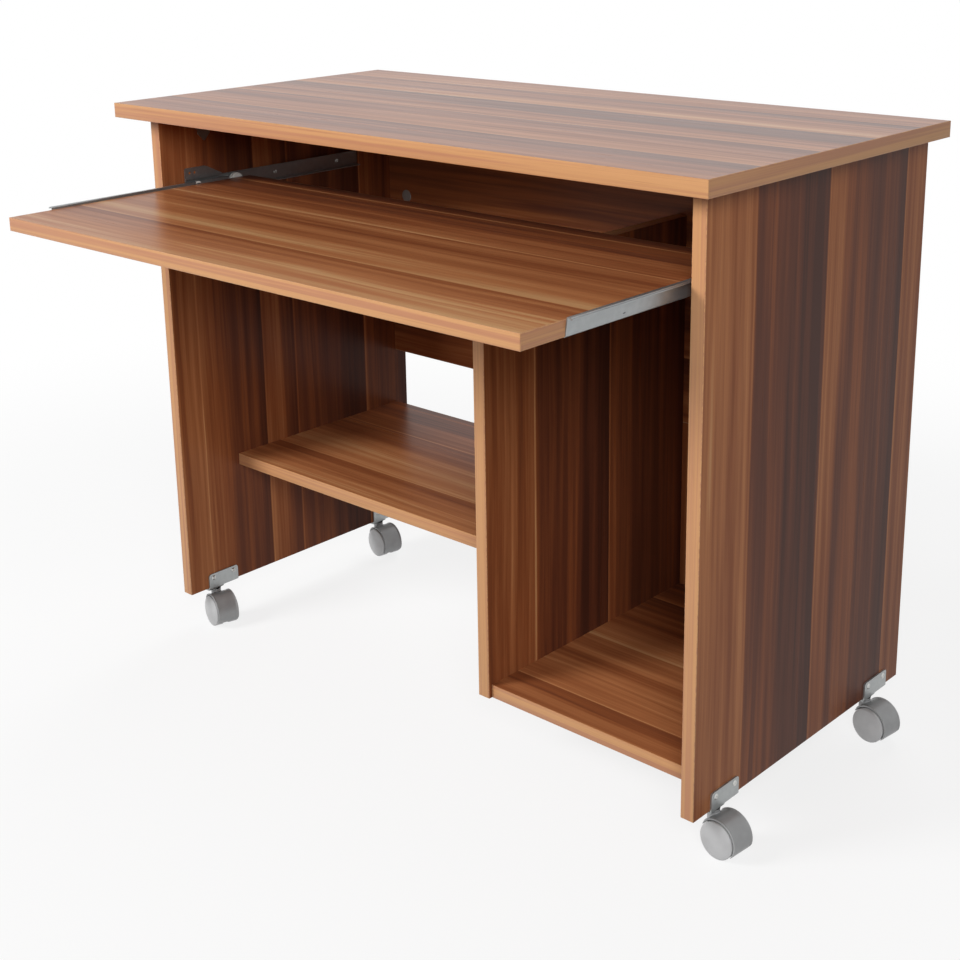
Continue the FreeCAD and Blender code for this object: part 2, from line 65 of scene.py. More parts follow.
def hue(text, rgb):
    """Declare a colour."""
    return FloatVectorProperty(description=text, subtype="COLOR", size=3, min=0, max=1, default=rgb)


def measure(text, millimetres):
    """Declare a length."""
    return FloatProperty(description=text, subtype="DISTANCE", unit="LENGTH", precision=5, min=0,
                         default=millimetres * MM)


def angle(text, degrees):
    """Declare an angle."""
    return FloatProperty(description=text, subtype="ANGLE", unit="ROTATION", default=math.radians(degrees))


def share(text, value):
    """Declare a share from 0 to 1."""
    return FloatProperty(description=text, subtype="FACTOR", min=0, max=1, default=value)


def watts(text, value):
    return FloatProperty(description=text, subtype="POWER", unit="POWER", min=0, default=value)


def label(key):
    """Give the name that a setting or socket shows."""
    return key.replace("_", " ").title()


def labelled(group):
    """Name each setting of a group after its attribute."""
    for key, setting in group.__annotations__.items():
        setting.keywords["name"] = label(key)
    return group


@labelled
class LaminateSettings(bpy.types.PropertyGroup):
    """Colours and finish of the boards."""
    pale: hue("Colour of the thin line between two planks", (0.62, 0.34, 0.155))
    tan: hue("Colour of the lightest wood", (0.48, 0.188, 0.073))
    red: hue("Colour of the middle wood", (0.285, 0.089, 0.032))
    plum: hue("Colour of the dark wood", (0.150, 0.046, 0.022))
    dark: hue("Colour of the darkest streaks", (0.075, 0.025, 0.015))
    chip: hue("Colour of the bare ends of the boards", (0.33, 0.215, 0.115))
    line_width: measure("Width of a pale line", 2.7)
    contrast: share("Strength of the streaks", 0.60)
    roughness: share("Roughness of the laminate", 0.30)
    sheen: share("Reflection of the boards", 0.10)
    top_sheen: share("Reflection of the tabletop", 0.34)


@labelled
class EdgingSettings(bpy.types.PropertyGroup):
    """Colours and shape of the edging."""
    tan: hue("Main colour of the edging", (0.58, 0.300, 0.135))
    rose: hue("Colour of the edging's soft streaks", (0.47, 0.215, 0.115))
    line: hue("Colour of the edging's fine lines", (0.34, 0.148, 0.064))
    rounding: measure("Radius of the edging's outer edges", 0.75)
    roughness: share("Roughness of the edging", 0.40)


@labelled
class SlideSettings(bpy.types.PropertyGroup):
    """Shape and colour of the roller slides."""
    steel: hue("Colour of the rails", (0.375, 0.39, 0.395))
    nylon: hue("Colour of the rollers", (0.80, 0.80, 0.76))
    gauge: measure("Thickness of the rails' steel", 1.2)
    bend: measure("Radius of the rails' bends at the middle of the steel", 1.7)
    channel: measure("Height of the cabinet rails' channels", 21.5)
    lip: measure("Reach of the channels' top lips", 5.5)
    lug_length: measure("Length of a cabinet rail's front lug at its foot", 60.0)
    lug_ramp: measure("Length of the slope behind the lug", 26.0)
    lug_corner: measure("Radius of the lug's corners", 2.5)
    lug_hole: measure("Radius of the lug's holes", 2.0)
    curl: measure("Radius of the tray rails' rolled top edges", 2.8)
    downturn: measure("Depth of the tray rails' turned-down edges", 3.0)
    flange_gap: measure("Distance of the tray rails' flanges from the rear rollers", 5.0)
    bore: measure("Radius of the rollers' bores", 2.55)
    roller_edge: measure("Rounding of the rollers' edges", 1.0)


@labelled
class CastorSettings(bpy.types.PropertyGroup):
    """Shape and colours of the castors."""
    hood: hue("Colour of the hoods", (0.345, 0.348, 0.352))
    disc: hue("Colour of the wheels' discs", (0.50, 0.50, 0.505))
    washer: hue("Colour of the washers", (0.012, 0.012, 0.012))
    trail: measure("Distance from a stem to its wheels' axle", 16.5)
    wheel_radius: measure("Radius of the treads", 21.0)
    wheel_inner: measure("Distance of a wheel's inner face from the middle", 4.6)
    tread: measure("Width of a tread", 11.0)
    disc_rise: measure("Height of a disc's dome beyond the tread", 3.6)
    hood_inner: measure("Inner radius of the hood", 21.8)
    hood_outer: measure("Outer radius of the hood", 23.6)
    hood_half: measure("Half of the hood's width", 15.0)
    hood_edge: measure("Rounding of the hood's edges", 0.6)
    hood_rear: angle("Angle at which the hood ends behind the wheels", -35.0)
    hood_front: angle("Angle at which the hood ends under the neck", 150.0)
    taper: measure("Thinning of the hood at its ends", 1.0)
    taper_length: measure("Length over which the hood thins", 9.0)
    bead: measure("Height of the bead round the hood's edge", 0.6)
    bead_width: measure("Width of the bead", 1.9)
    web: measure("Thickness of the wall between the wheels", 8.4)
    web_drop: measure("Depth of that wall below the axle", 8.0)
    neck_radius: measure("Radius of the neck round the stem", 6.7)
    neck_drop: measure("Length of the neck down into the hood", 16.4)
    stem_bore: measure("Radius of the stem's bore", 3.05)
    blend: measure("Reach of the fillet between neck and hood", 3.0)
    voxel: measure("Fineness of the moulded hood", 0.4)


@labelled
class PlateSettings(bpy.types.PropertyGroup):
    """Shape and colour of the castors' plates and the angle brackets."""
    steel: hue("Colour of the plates and brackets", (0.385, 0.40, 0.40))
    gauge: measure("Thickness of the castors' plates", 2.0)
    bend: measure("Radius of the plates' bends at the middle of the steel", 1.6)
    tongue: measure("Width of the tongue that carries a castor", 24.0)
    shoulder: measure("Height of a plate's lower edge above its tongue's underside", 3.5)
    fillet: measure("Radius of a plate's lower corners", 0.8)
    corner: measure("Radius of a plate's upper corners", 4.0)
    leg: measure("Length of a bracket's legs", 38.0)
    leg_width: measure("Width of a bracket's legs", 18.0)
    leg_gauge: measure("Thickness of the brackets", 2.5)
    leg_bend: measure("Radius of the brackets' bends at the middle of the steel", 2.2)
    leg_tip: measure("Width of a leg's pointed end", 1.2)
    leg_hole: measure("Distance of a bracket's screws from its corner", 20.0)


@labelled
class FittingSettings(bpy.types.PropertyGroup):
    """Shape and colours of the screws and caps."""
    zinc: hue("Colour of the screws, pins and bolts", (0.56, 0.56, 0.54))
    # The tray rails' screws are coloured near black, far darker than the other screws.
    dark_zinc: hue("Colour of the tray rails' screws", (0.045, 0.045, 0.05))
    cap: hue("Colour of the cover caps", (0.25, 0.225, 0.21))
    head_radius: measure("Radius of a screw's head", 3.4)
    head_height: measure("Height of a pan head with its dome", 1.6)
    head_side: measure("Height of a pan head's side", 0.9)
    sunk_height: measure("Depth of a countersunk head", 1.65)
    recess_length: measure("Length of the cross in a screw's head", 3.8)
    recess_width: measure("Width of the cross in a screw's head", 0.9)
    recess_depth: measure("Depth of the cross in a screw's head", 0.9)
    shank: measure("Radius of a screw's shank", 1.75)
    length: measure("Length of a screw", 12.0)
    back_length: measure("Length of the screws through the back boards", 37.5)
    cap_radius: measure("Radius of a cover cap", 9.0)
    cap_side: measure("Height of a cap's side", 0.7)
    cap_dome: measure("Height of a cap's dome", 0.5)
    cap_setback: measure("Distance of a cap from its joint", 34.0)
    cap_drop: measure("Distance of the upper back's upper caps from the tabletop", 157.0)
    edge_setback: measure("Distance of caps and screws from a board's edge", 60.0)
    twist_seed: IntProperty(description="Seed of the screws' turns", default=7)


@labelled
class StageSettings(bpy.types.PropertyGroup):
    """Floor, light and camera."""
    floor: hue("Colour of the floor", (0.93, 0.93, 0.93))
    bounce: hue("Colour of the light that the floor throws back", (0.40, 0.40, 0.40))
    ambient: share("Strength of the even light all round", 0.04)
    key_power: watts("Power of the light at the front left", 87.0)
    fill_power: watts("Power of the light at the front right", 52.0)
    rear_power: watts("Power of the light behind the desk", 34.0)
    lens: FloatProperty(description="Focal length of the camera", subtype="DISTANCE_CAMERA", unit="CAMERA",
                        min=1, default=59.24)
    shift: FloatProperty(description="Vertical shift of the lens", default=-0.15)


class Value:
    """A socket of a node tree that takes part in arithmetic. Each operation adds a Math node."""

    def __init__(self, graph, socket):
        self.graph = graph
        self.socket = socket

    def math(self, operation, *others):
        return self.graph.math(operation, self, *others)

    def out(self, name):
        """Give another output of the same node."""
        return Value(self.graph, self.socket.node.outputs[name])

    def ramp(self, low, high, start=0.0, end=1.0):
        """Rise smoothly from start to end between two values."""
        inputs = {"Value": self, "From Min": low, "From Max": high, "To Min": start, "To Max": end}
        return self.graph.node("ShaderNodeMapRange", inputs, interpolation_type="SMOOTHSTEP")

    def __add__(self, other):
        return self.math("ADD", other)

    def __sub__(self, other):
        return self.math("SUBTRACT", other)

    def __rsub__(self, other):
        return self.graph.math("SUBTRACT", other, self)

    def __mul__(self, other):
        return self.math("MULTIPLY", other)

    def __truediv__(self, other):
        return self.math("DIVIDE", other)

    def __neg__(self):
        return self.math("MULTIPLY", -1.0)

    def __abs__(self):
        return self.math("ABSOLUTE")

    __radd__ = __add__
    __rmul__ = __mul__


class Graph:
    """A node tree that is written as expressions."""

    def __init__(self, tree):
        self.tree = tree

    def node(self, kind, inputs=(), output=0, **settings):
        """Add a node: its type, its settings, and the values or links of its sockets."""
        node = self.tree.nodes.new(kind)
        for name, value in settings.items():
            if name == "stops":
                self.set_stops(node.color_ramp, value)
            else:
                setattr(node, name, value)
        for key, value in dict(inputs).items():
            if isinstance(value, Value):
                self.tree.links.new(value.socket, node.inputs[key])
            else:
                node.inputs[key].default_value = value
        return Value(self, node.outputs[output]) if node.outputs else node

    @staticmethod
    def set_stops(ramp, stops):
        while len(ramp.elements) < len(stops):
            ramp.elements.new(0.5)
        for element, (place, rgb) in zip(ramp.elements, stops):
            element.position = place
            element.color = (*rgb, 1.0)

    def math(self, operation, *values):
        return self.node("ShaderNodeMath", enumerate(values), operation=operation)

    def mix(self, factor, first, second):
        """Mix two colours."""
        first, second = [c if isinstance(c, Value) else (*c, 1.0) for c in (first, second)]
        return self.node("ShaderNodeMix", {0: factor, 6: first, 7: second}, 2, data_type="RGBA")

    def noise(self, x, y, z, detail=2.0, roughness=0.5):
        """Give noise at a point whose coordinates are already scaled."""
        return self.node("ShaderNodeTexNoise", {
            "Vector": self.vector(x, y, z), "Scale": 1.0, "Detail": detail, "Roughness": roughness})

    def grain(self, place, wide, long=None, axis=None, detail=2.0, roughness=0.5):
        """Give noise of one scale, or drawn out to another scale along one axis."""
        return self.noise(*[place[i] * (long if i == axis else wide) for i in range(3)], detail, roughness)

    def vector(self, x=0.0, y=0.0, z=0.0):
        """Join three values in a vector."""
        return self.node("ShaderNodeCombineXYZ", {X: x, Y: y, Z: z})

    def place(self):
        """Give the object's own coordinates."""
        return self.axes(self.node("ShaderNodeTexCoord", output="Object"))

    def facing(self):
        """Give the object's own normal."""
        return self.axes(self.node("ShaderNodeTexCoord", output="Normal"))

    def axes(self, vector):
        """Part a vector in its three values."""
        parts = self.node("ShaderNodeSeparateXYZ", {0: vector})
        return parts, parts.out("Y"), parts.out("Z")

    def seen(self):
        """Tell the rays that show the background: from the camera, in a reflection or through glass."""
        path = self.node("ShaderNodeLightPath")
        mirrored = path.out("Is Glossy Ray").math("MAXIMUM", path.out("Is Transmission Ray"))
        return path.math("MAXIMUM", mirrored)

    def surface(self, base, roughness, bump, strength, distance, metallic=0.0, specular=0.5):
        """Close a material with one Principled shader."""
        normal = self.node("ShaderNodeBump", {
            "Strength": strength, "Distance": distance, "Height": bump})
        shader = self.node("ShaderNodeBsdfPrincipled", {
            "Base Color": base, "Roughness": roughness, "Metallic": metallic,
            "Specular IOR Level": specular, "Normal": normal})
        self.node("ShaderNodeOutputMaterial", {"Surface": shader})


def empty_graph(owner):
    """Clear the nodes of a material or world and give its graph."""
    owner.use_nodes = True
    owner.node_tree.nodes.clear()
    return Graph(owner.node_tree)


def new_material(name):
    """Start an empty material. Give it with its graph."""
    material = bpy.data.materials.new(name)
    return material, empty_graph(material)


def tint(rgb, factor):
    """Darken or lighten a colour."""
    return [min(1.0, part * factor) for part in rgb]


# Darkness of a plank at its start, after one and two thirds, and at its end: 0 is a pale line, 1 the darkest
# wood.
PLANK_TONES = {
    # The light, soft and glow kinds are laid only on the shelf and the keyboard tray. Their lightness is partly
    # the wood's own tone and partly painted light, for the light that falls on these boards from above.
    "light": (0.10, 0.14, 0.28, 0.48),
    "soft": (0.08, 0.18, 0.33, 0.54),
    "glow": (0.13, 0.18, 0.25, 0.42),
    "tan": (0.24, 0.28, 0.30, 0.36),
    "warm": (0.18, 0.32, 0.50, 0.68),
    "even": (0.32, 0.36, 0.32, 0.44),
    "rust": (0.36, 0.42, 0.52, 0.44),
    "red": (0.30, 0.46, 0.62, 0.80),
    "deep": (0.42, 0.56, 0.72, 0.86),
    "dark": (0.50, 0.66, 0.82, 0.92),
}

# Layers of streaks: scale along the grain, scale across it, start, detail and weight.
STREAKS = {
    "broad": (1.0, 36.0, 0.0, 2.0, 1.6),
    "streak": (2.2, 110.0, 4.0, 3.0, 1.2),
    "flame": (4.5, 260.0, 9.0, 3.0, 0.5),
    "fibre": (22.0, 1500.0, 0.0, 2.0, 0.28),
}

# Slow drift and quick ripple of the grain: scales along and across it, and reach in metres. The pale lines
# ripple less.
DRIFT_LONG, DRIFT_WIDE, DRIFT_REACH = 1.4, 6.0, 0.020
RIPPLE_LONG, RIPPLE_WIDE, RIPPLE_REACH, LINE_RIPPLE = 8.0, 40.0, 0.0025, 0.0012
DEPTH_SCALE = 3.0


def plank_stops(low, high, line_tone, lines, kinds, line_width):
    """Give the darkness across a board: a pale line, then wood that darkens towards the next line."""
    stops = []
    starts = [low] + list(lines)
    core, fade = line_width * 0.3, line_width * 0.35
    for start, end, kind in zip(starts, starts[1:] + [high], kinds):
        first = start
        if start > low:
            first = start + line_width
            stops += [(start, line_tone), (start + core, line_tone)]
        third = (end - start) / 3
        places = (first, start + third, start + 2 * third, end - fade)
        stops += list(zip(places, PLANK_TONES[kind]))
    return [((place - low) / (high - low), (tone, tone, tone)) for place, tone in stops]


def laminate(board, grain, across, line_tone, lines, kinds, look, seed):
    """Make the wood-grain laminate of one board, with its planks' lines where they run on that board."""
    material, graph = new_material(board + "_laminate")
    low, high = [corner[across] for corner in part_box(board)]
    place = graph.place()
    along, width, depth = place[grain], place[across], place[X + Y + Z - grain - across] * DEPTH_SCALE + seed
    drift = graph.noise(along * DRIFT_LONG + seed, width * DRIFT_WIDE, depth) - 0.5
    ripple = graph.noise(along * RIPPLE_LONG, width * RIPPLE_WIDE, depth, detail=1.0) - 0.5
    places = [line * MM for line in lines]
    stops = plank_stops(low, high, line_tone, places, kinds, look.line_width)
    reach = (width + ripple * LINE_RIPPLE - low) / (high - low)
    plank = graph.node("ShaderNodeValToRGB", {0: reach}, stops=stops)
    side = width + drift * DRIFT_REACH + ripple * RIPPLE_REACH
    layers, streaks = {}, 0.0
    for name, (long, wide, start, detail, weight) in STREAKS.items():
        layers[name] = graph.noise(along * long + start, side * wide, depth, detail, roughness=0.55) - 0.5
        streaks = layers[name] * weight + streaks
    colours = ((0.0, look.pale), (0.15, look.tan), (0.45, look.red), (0.72, look.plum), (1.0, look.dark))
    tone = plank + streaks * look.contrast * plank.ramp(0.0, 0.25, start=0.25)
    wood = graph.node("ShaderNodeValToRGB", {0: tone}, stops=colours)
    grit = graph.grain(place, wide=420.0, detail=3.0, roughness=0.7)
    chips = graph.mix(grit.ramp(0.35, 0.7), look.chip, tint(look.chip, 0.5))
    end_face = abs(graph.facing()[grain]).ramp(0.6, 0.8)
    rough = look.roughness + layers["streak"] * 0.12 + layers["fibre"] * 0.08 + end_face * 0.35
    bump = layers["fibre"] + grit * end_face * 4.0
    sheen = look.top_sheen if board == "tabletop" else look.sheen
    base = graph.mix(end_face, wood, chips)
    graph.surface(base, rough, bump, strength=0.12, distance=0.1 * MM, specular=sheen)
    return material


def edging_finish(grain, look):
    """Make the edging's fine straight grain along one axis."""
    material, graph = new_material("edging_grain_" + "xyz"[grain])
    place = graph.place()
    soft = graph.grain(place, wide=210.0, long=1.6, axis=grain)
    fine = graph.grain(place, wide=1100.0, long=9.0, axis=grain, roughness=0.6)
    base = graph.mix(soft.ramp(0.40, 0.66), look.tan, look.rose)
    base = graph.mix(fine.ramp(0.50, 0.80) * 0.45, base, look.line)
    graph.surface(base, look.roughness + fine * 0.12, fine, strength=0.1, distance=0.1 * MM)
    return material


def steel_finish(name, rgb, grain, roughness, metallic=1.0):
    """Make plated or coated steel with fine drawing marks and a faint mottle."""
    material, graph = new_material(name)
    place = graph.place()
    marks = graph.grain(place, wide=2600.0, long=40.0, axis=grain, roughness=0.6)
    mottle = graph.grain(place, wide=130.0, detail=3.0, roughness=0.55)
    base = graph.mix(mottle.ramp(0.35, 0.70), tint(rgb, 0.95), tint(rgb, 1.04))
    base = graph.mix(marks.ramp(0.5, 0.8) * 0.25, base, tint(rgb, 0.7))
    rough = roughness + mottle * 0.05 + marks * 0.06
    graph.surface(base, rough, marks, strength=0.06, distance=0.05 * MM, metallic=metallic)
    return material


def plastic_finish(name, rgb, roughness, metallic=0.0, flake=0.0):
    """Make moulded plastic with a fine grain and, for silver paint, small bright flakes."""
    material, graph = new_material(name)
    place = graph.place()
    cloud = graph.grain(place, wide=60.0)
    grain = graph.grain(place, wide=3200.0, roughness=0.6)
    base = graph.mix(cloud.ramp(0.3, 0.7), tint(rgb, 0.94), tint(rgb, 1.05))
    base = graph.mix(grain.ramp(0.55, 0.8) * flake, base, tint(rgb, 1.7))
    rough = roughness + cloud * 0.08 + grain * 0.06
    graph.surface(base, rough, grain, strength=0.05, distance=0.04 * MM, metallic=metallic)
    return material


def mm(look, *names):
    """Give lengths among the settings in millimetres."""
    return [getattr(look, name) / MM for name in names]


def box_mm(node):
    """Give a node's lowest and highest corners in millimetres."""
    return [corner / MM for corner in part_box(node)]


def whole(board):
    """Give the corners of a board with its edging in millimetres."""
    core, band = box_mm(board), box_mm(board + "_edging")
    low = Vector([min(core[0][i], band[0][i]) for i in range(3)])
    high = Vector([max(core[1][i], band[1][i]) for i in range(3)])
    return low, high


def raw_mesh(bm, name):
    """Close a bmesh with outward faces."""
    bmesh.ops.remove_doubles(bm, verts=bm.verts, dist=TINY / 10)
    bmesh.ops.recalc_face_normals(bm, faces=bm.faces)
    mesh = bpy.data.meshes.new(name)
    bm.to_mesh(mesh)
    bm.free()
    return mesh


def add(name, data):
    """Add an object to the scene."""
    obj = bpy.data.objects.new(name, data)
    bpy.context.scene.collection.objects.link(obj)
    return obj


def put(name, mesh, materials, slot, node, sharp):
    """Finish a piece, smooth up to an angle in degrees, and put it on the body of the node it stands for."""
    mesh.name = name
    mesh.polygons.foreach_set("use_smooth", [True] * len(mesh.polygons))
    mesh.set_sharp_from_angle(angle=math.radians(sharp))
    for material in materials:
        if material.name not in mesh.materials:
            mesh.materials.append(material)
    mesh.update()
    piece = add(name, mesh)
    bodies = frame["record"]["behaviour"]["bodies"]
    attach(piece, next(body for body, nodes in bodies.items() if node in nodes))
    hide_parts(node)


def dress(node, material):
    """Give a node that stays a better finish."""
    mesh = frame["nodes"][node].data
    mesh.materials.clear()
    mesh.materials.append(material)


def stand(place, turn, axis):
    """Give the matrix that turns a shape about an axis and sets it in its place."""
    return Matrix.Translation(place) @ Matrix.Rotation(turn, 4, axis)


def lathe(bm, profile, matrix, steps=64, closed=False):
    """Turn a profile of (height, radius) points in millimetres. A closed profile makes a ring."""
    rings = []
    for height, radius in profile:
        count = steps if radius > TINY else 1
        ring = []
        for i in range(count):
            turn = 2 * math.pi * i / steps
            point = Vector((radius * math.cos(turn), radius * math.sin(turn), height)) * MM
            ring.append(bm.verts.new(matrix @ point))
        rings.append(ring)
    pairs = list(zip(rings, rings[1:]))
    if closed:
        pairs.append((rings[-1], rings[0]))
    for low, high in pairs:
        for i in range(steps):
            j = (i + 1) % steps
            corners = [low[i % len(low)], low[j % len(low)], high[j % len(high)], high[i % len(high)]]
            bm.faces.new(list(dict.fromkeys(corners)))


def turned(name, profile, matrix, **form):
    """Turn a profile to a mesh of its own."""
    bm = bmesh.new()
    lathe(bm, profile, matrix, **form)
    return raw_mesh(bm, name)


def rounded(points, radii, steps=6):
    """Round the inner corners of an open path of (x, z) points, each with its own radius."""
    path = [Vector(points[0])]
    for before, corner, after, radius in zip(points, points[1:], points[2:], radii):
        corner = Vector(corner)
        one, two = (Vector(before) - corner).normalized(), (Vector(after) - corner).normalized()
        half = one.angle(two) / 2
        reach = radius / math.tan(half)
        middle = corner + (one + two).normalized() * (radius / math.sin(half))
        start, end = corner + one * reach - middle, corner + two * reach - middle
        for i in range(steps + 1):
            path.append(middle + start.slerp(end, i / steps))
    return path + [Vector(points[-1])]


def corner_arc(radius, steps=6):
    """Give the points round an outer corner: how far each lies from the one face and from the other."""
    turns = [math.radians(90 * i / steps) for i in range(steps + 1)]
    return [(radius * (1 - math.sin(turn)), radius * (1 - math.cos(turn))) for turn in turns]


def grooved_face(hub, rim, depth, slope, radius, edge, steps=6):
    """Give a wheel's face as (height, radius) points: a groove between hub and rim, then a rounded edge."""
    face = [(0.0, hub - slope), (depth, hub + slope), (depth, rim - slope), (0.0, rim + slope)]
    return face + [(cut, radius - drop) for drop, cut in corner_arc(edge, steps)]


def folded_sheet(bm, stations, gauge, matrix=None):
    """Make a bent sheet from stations of (x, z, y low, y high) along the middle of the steel."""
    path = [Vector(station[:2]) for station in stations]
    rows = []
    for i, (x, z, low, high) in enumerate(stations):
        ahead = path[min(i + 1, len(path) - 1)] - path[i]
        behind = path[i] - path[max(i - 1, 0)]
        along = (ahead.normalized() + behind.normalized()).normalized()
        side = Vector((-along.y, along.x)) * gauge / 2
        row = []
        for sign, y in ((1, low), (1, high), (-1, high), (-1, low)):
            point = Vector((x + sign * side.x, y, z + sign * side.y)) * MM
            row.append(bm.verts.new(matrix @ point if matrix else point))
        rows.append(row)
    for one, two in zip(rows, rows[1:]):
        for i in range(4):
            j = (i + 1) % 4
            bm.faces.new((one[i], one[j], two[j], two[i]))
    bm.faces.new(rows[0])
    bm.faces.new(rows[-1])


def folded(name, stations, gauge):
    """Fold a sheet to a mesh of its own."""
    bm = bmesh.new()
    folded_sheet(bm, stations, gauge)
    return raw_mesh(bm, name)


def box_into(bm, low, high):
    """Add a box. Give its vertices."""
    made = bmesh.ops.create_cube(bm, size=1.0)["verts"]
    for vert in made:
        vert.co = Vector([low[i] if vert.co[i] < 0 else high[i] for i in range(3)])
    return made


def plain_mesh(obj):
    """Give the evaluated object as a plain mesh."""
    depsgraph = bpy.context.evaluated_depsgraph_get()
    depsgraph.update()
    return bpy.data.meshes.new_from_object(obj.evaluated_get(depsgraph), depsgraph=depsgraph)


def joined(base, tools, operation):
    """Join meshes to, or cut them from, a mesh, and give the result as a new mesh."""
    body = add("joining", base)
    others = [add("tool", tool) for tool in tools]
    for other in others:
        modifier = body.modifiers.new("join", "BOOLEAN")
        modifier.operation = operation
        modifier.solver = "EXACT"
        modifier.object = other
    result = plain_mesh(body)
    for obj in [body] + others:
        old = obj.data
        bpy.data.objects.remove(obj)
        bpy.data.meshes.remove(old)
    return result


def grow(name, tree, inputs, values, base):
    """Run a geometry tree on a base mesh and give the result as a plain mesh."""
    obj = add(name, base)
    modifier = obj.modifiers.new("shape", "NODES")
    modifier.node_group = tree
    for key, value in values.items():
        modifier[inputs[key]] = value
    mesh = plain_mesh(obj)
    obj.modifiers.remove(modifier)
    bpy.data.objects.remove(obj)
    bpy.data.meshes.remove(base)
    if not mesh.polygons:
        raise RuntimeError(name + " came out empty")
    return mesh


def new_tree(name, sockets):
    """Start a geometry tree. Give it with its graph, its first node, its inputs and their identifiers."""
    tree = bpy.data.node_groups.new(name, "GeometryNodeTree")
    tree.interface.new_socket("Geometry", in_out="INPUT", socket_type="NodeSocketGeometry")
    names = {}
    for key, kind in sockets.items():
        socket = tree.interface.new_socket(label(key), in_out="INPUT", socket_type="NodeSocket" + kind)
        names[key] = socket.identifier
    tree.interface.new_socket("Geometry", in_out="OUTPUT", socket_type="NodeSocketGeometry")
    graph = Graph(tree)
    first = graph.node("NodeGroupInput")
    values = {key: first.out(label(key)) for key in sockets}
    return tree, graph, first, values, names


def close_tree(graph, geometry, material):
    """End a tree in real geometry with its material."""
    real = graph.node("GeometryNodeRealizeInstances", {0: geometry})
    painted = graph.node("GeometryNodeSetMaterial", {"Geometry": real, "Material": material})
    graph.node("NodeGroupOutput", {0: painted})


def screw_tree():
    """Build the tree that drives screws, or sets caps, at points that aim outward."""
    lengths = ("head_radius", "face_radius", "head_height", "base", "dome", "recess_length", "recess_width",
               "recess_depth", "shank_radius", "shank_length")
    sockets = {**{key: "Float" for key in lengths}, "twist_seed": "Int", "finish": "Material"}
    tree, graph, first, size, names = new_tree("driven_screws", sockets)
    cone = graph.node("GeometryNodeMeshCone", {
        "Vertices": 40, "Side Segments": 2, "Fill Segments": 10, "Radius Top": size["face_radius"],
        "Radius Bottom": size["head_radius"], "Depth": size["head_height"]})
    x, y, z = graph.axes(graph.node("GeometryNodeInputPosition"))
    reach = (x * x + y * y).math("SQRT") / size["face_radius"]
    dome = (1.0 - reach * reach) * size["dome"]
    # The cross has soft walls, and its floor rises towards the ends of its arms.
    soft = size["recess_width"] * 0.18
    floor = 1.0 - reach * 0.45
    half_width, half_length = size["recess_width"] * 0.5, size["recess_length"] * 0.5
    across = [1.0 - abs(axis).ramp(half_width - soft, half_width + soft) for axis in (y, x)]
    within = [1.0 - abs(axis).ramp(half_length - soft, half_length + soft) for axis in (x, y)]
    cross = (across[0] * within[0]).math("MAXIMUM", across[1] * within[1])
    sunk = cross * size["recess_depth"] * floor
    on_face = z.math("GREATER_THAN", size["head_height"] * 0.9)
    lift = graph.vector(z=(dome - sunk) * on_face + size["base"])
    head = graph.node("GeometryNodeSetPosition", {"Geometry": cone, "Offset": lift})
    shank = graph.node("GeometryNodeMeshCylinder", {
        "Vertices": 20, "Radius": size["shank_radius"], "Depth": size["shank_length"]})
    drop = graph.vector(z=size["base"] - size["shank_length"] * 0.5)
    shank = graph.node("GeometryNodeTransform", {"Geometry": shank, "Translation": drop})
    screw = graph.node("GeometryNodeJoinGeometry", {0: head})
    graph.tree.links.new(shank.socket, screw.socket.node.inputs[0])
    aim = graph.node("GeometryNodeInputNamedAttribute", {"Name": "aim"}, data_type="FLOAT_VECTOR")
    upright = graph.node("FunctionNodeAlignRotationToVector", {"Vector": aim}, axis="Z")
    half_turn = {2: 0.0, 3: math.pi, "Seed": size["twist_seed"]}
    twist = graph.node("FunctionNodeRandomValue", half_turn, 1, data_type="FLOAT")
    spin = graph.node("FunctionNodeAxisAngleToRotation", {"Axis": (0, 0, 1), "Angle": twist})
    twisted = graph.node("FunctionNodeRotateRotation", {"Rotation": upright, "Rotate By": spin},
                         rotation_space="LOCAL")
    placed = graph.node("GeometryNodeInstanceOnPoints", {
        "Points": first, "Instance": screw, "Rotation": twisted})
    close_tree(graph, placed, size["finish"])
    return tree, names


def aimed_points(name, places):
    """Make a mesh of loose points that each carry the way they face."""
    mesh = bpy.data.meshes.new(name)
    mesh.from_pydata([Vector(point) * MM for point, way in places], [], [])
    aim = mesh.attributes.new("aim", "FLOAT_VECTOR", "POINT")
    aim.data.foreach_set("vector", [axis for point, way in places for axis in way])
    return mesh


# Settings that shape a hood as they are, and what is worked out for it.
HOOD_SETTINGS = ("trail", "wheel_radius", "hood_inner", "hood_outer", "hood_half", "hood_edge", "hood_rear",
                 "hood_front", "taper", "taper_length", "bead", "bead_width", "web", "neck_radius",
                 "stem_bore", "blend")
HOOD_LEVELS = ("web_bottom", "neck_top", "neck_bottom", "bore_bottom", "turn")
HOOD_STEPS = ("steps_x", "steps_y", "steps_z")


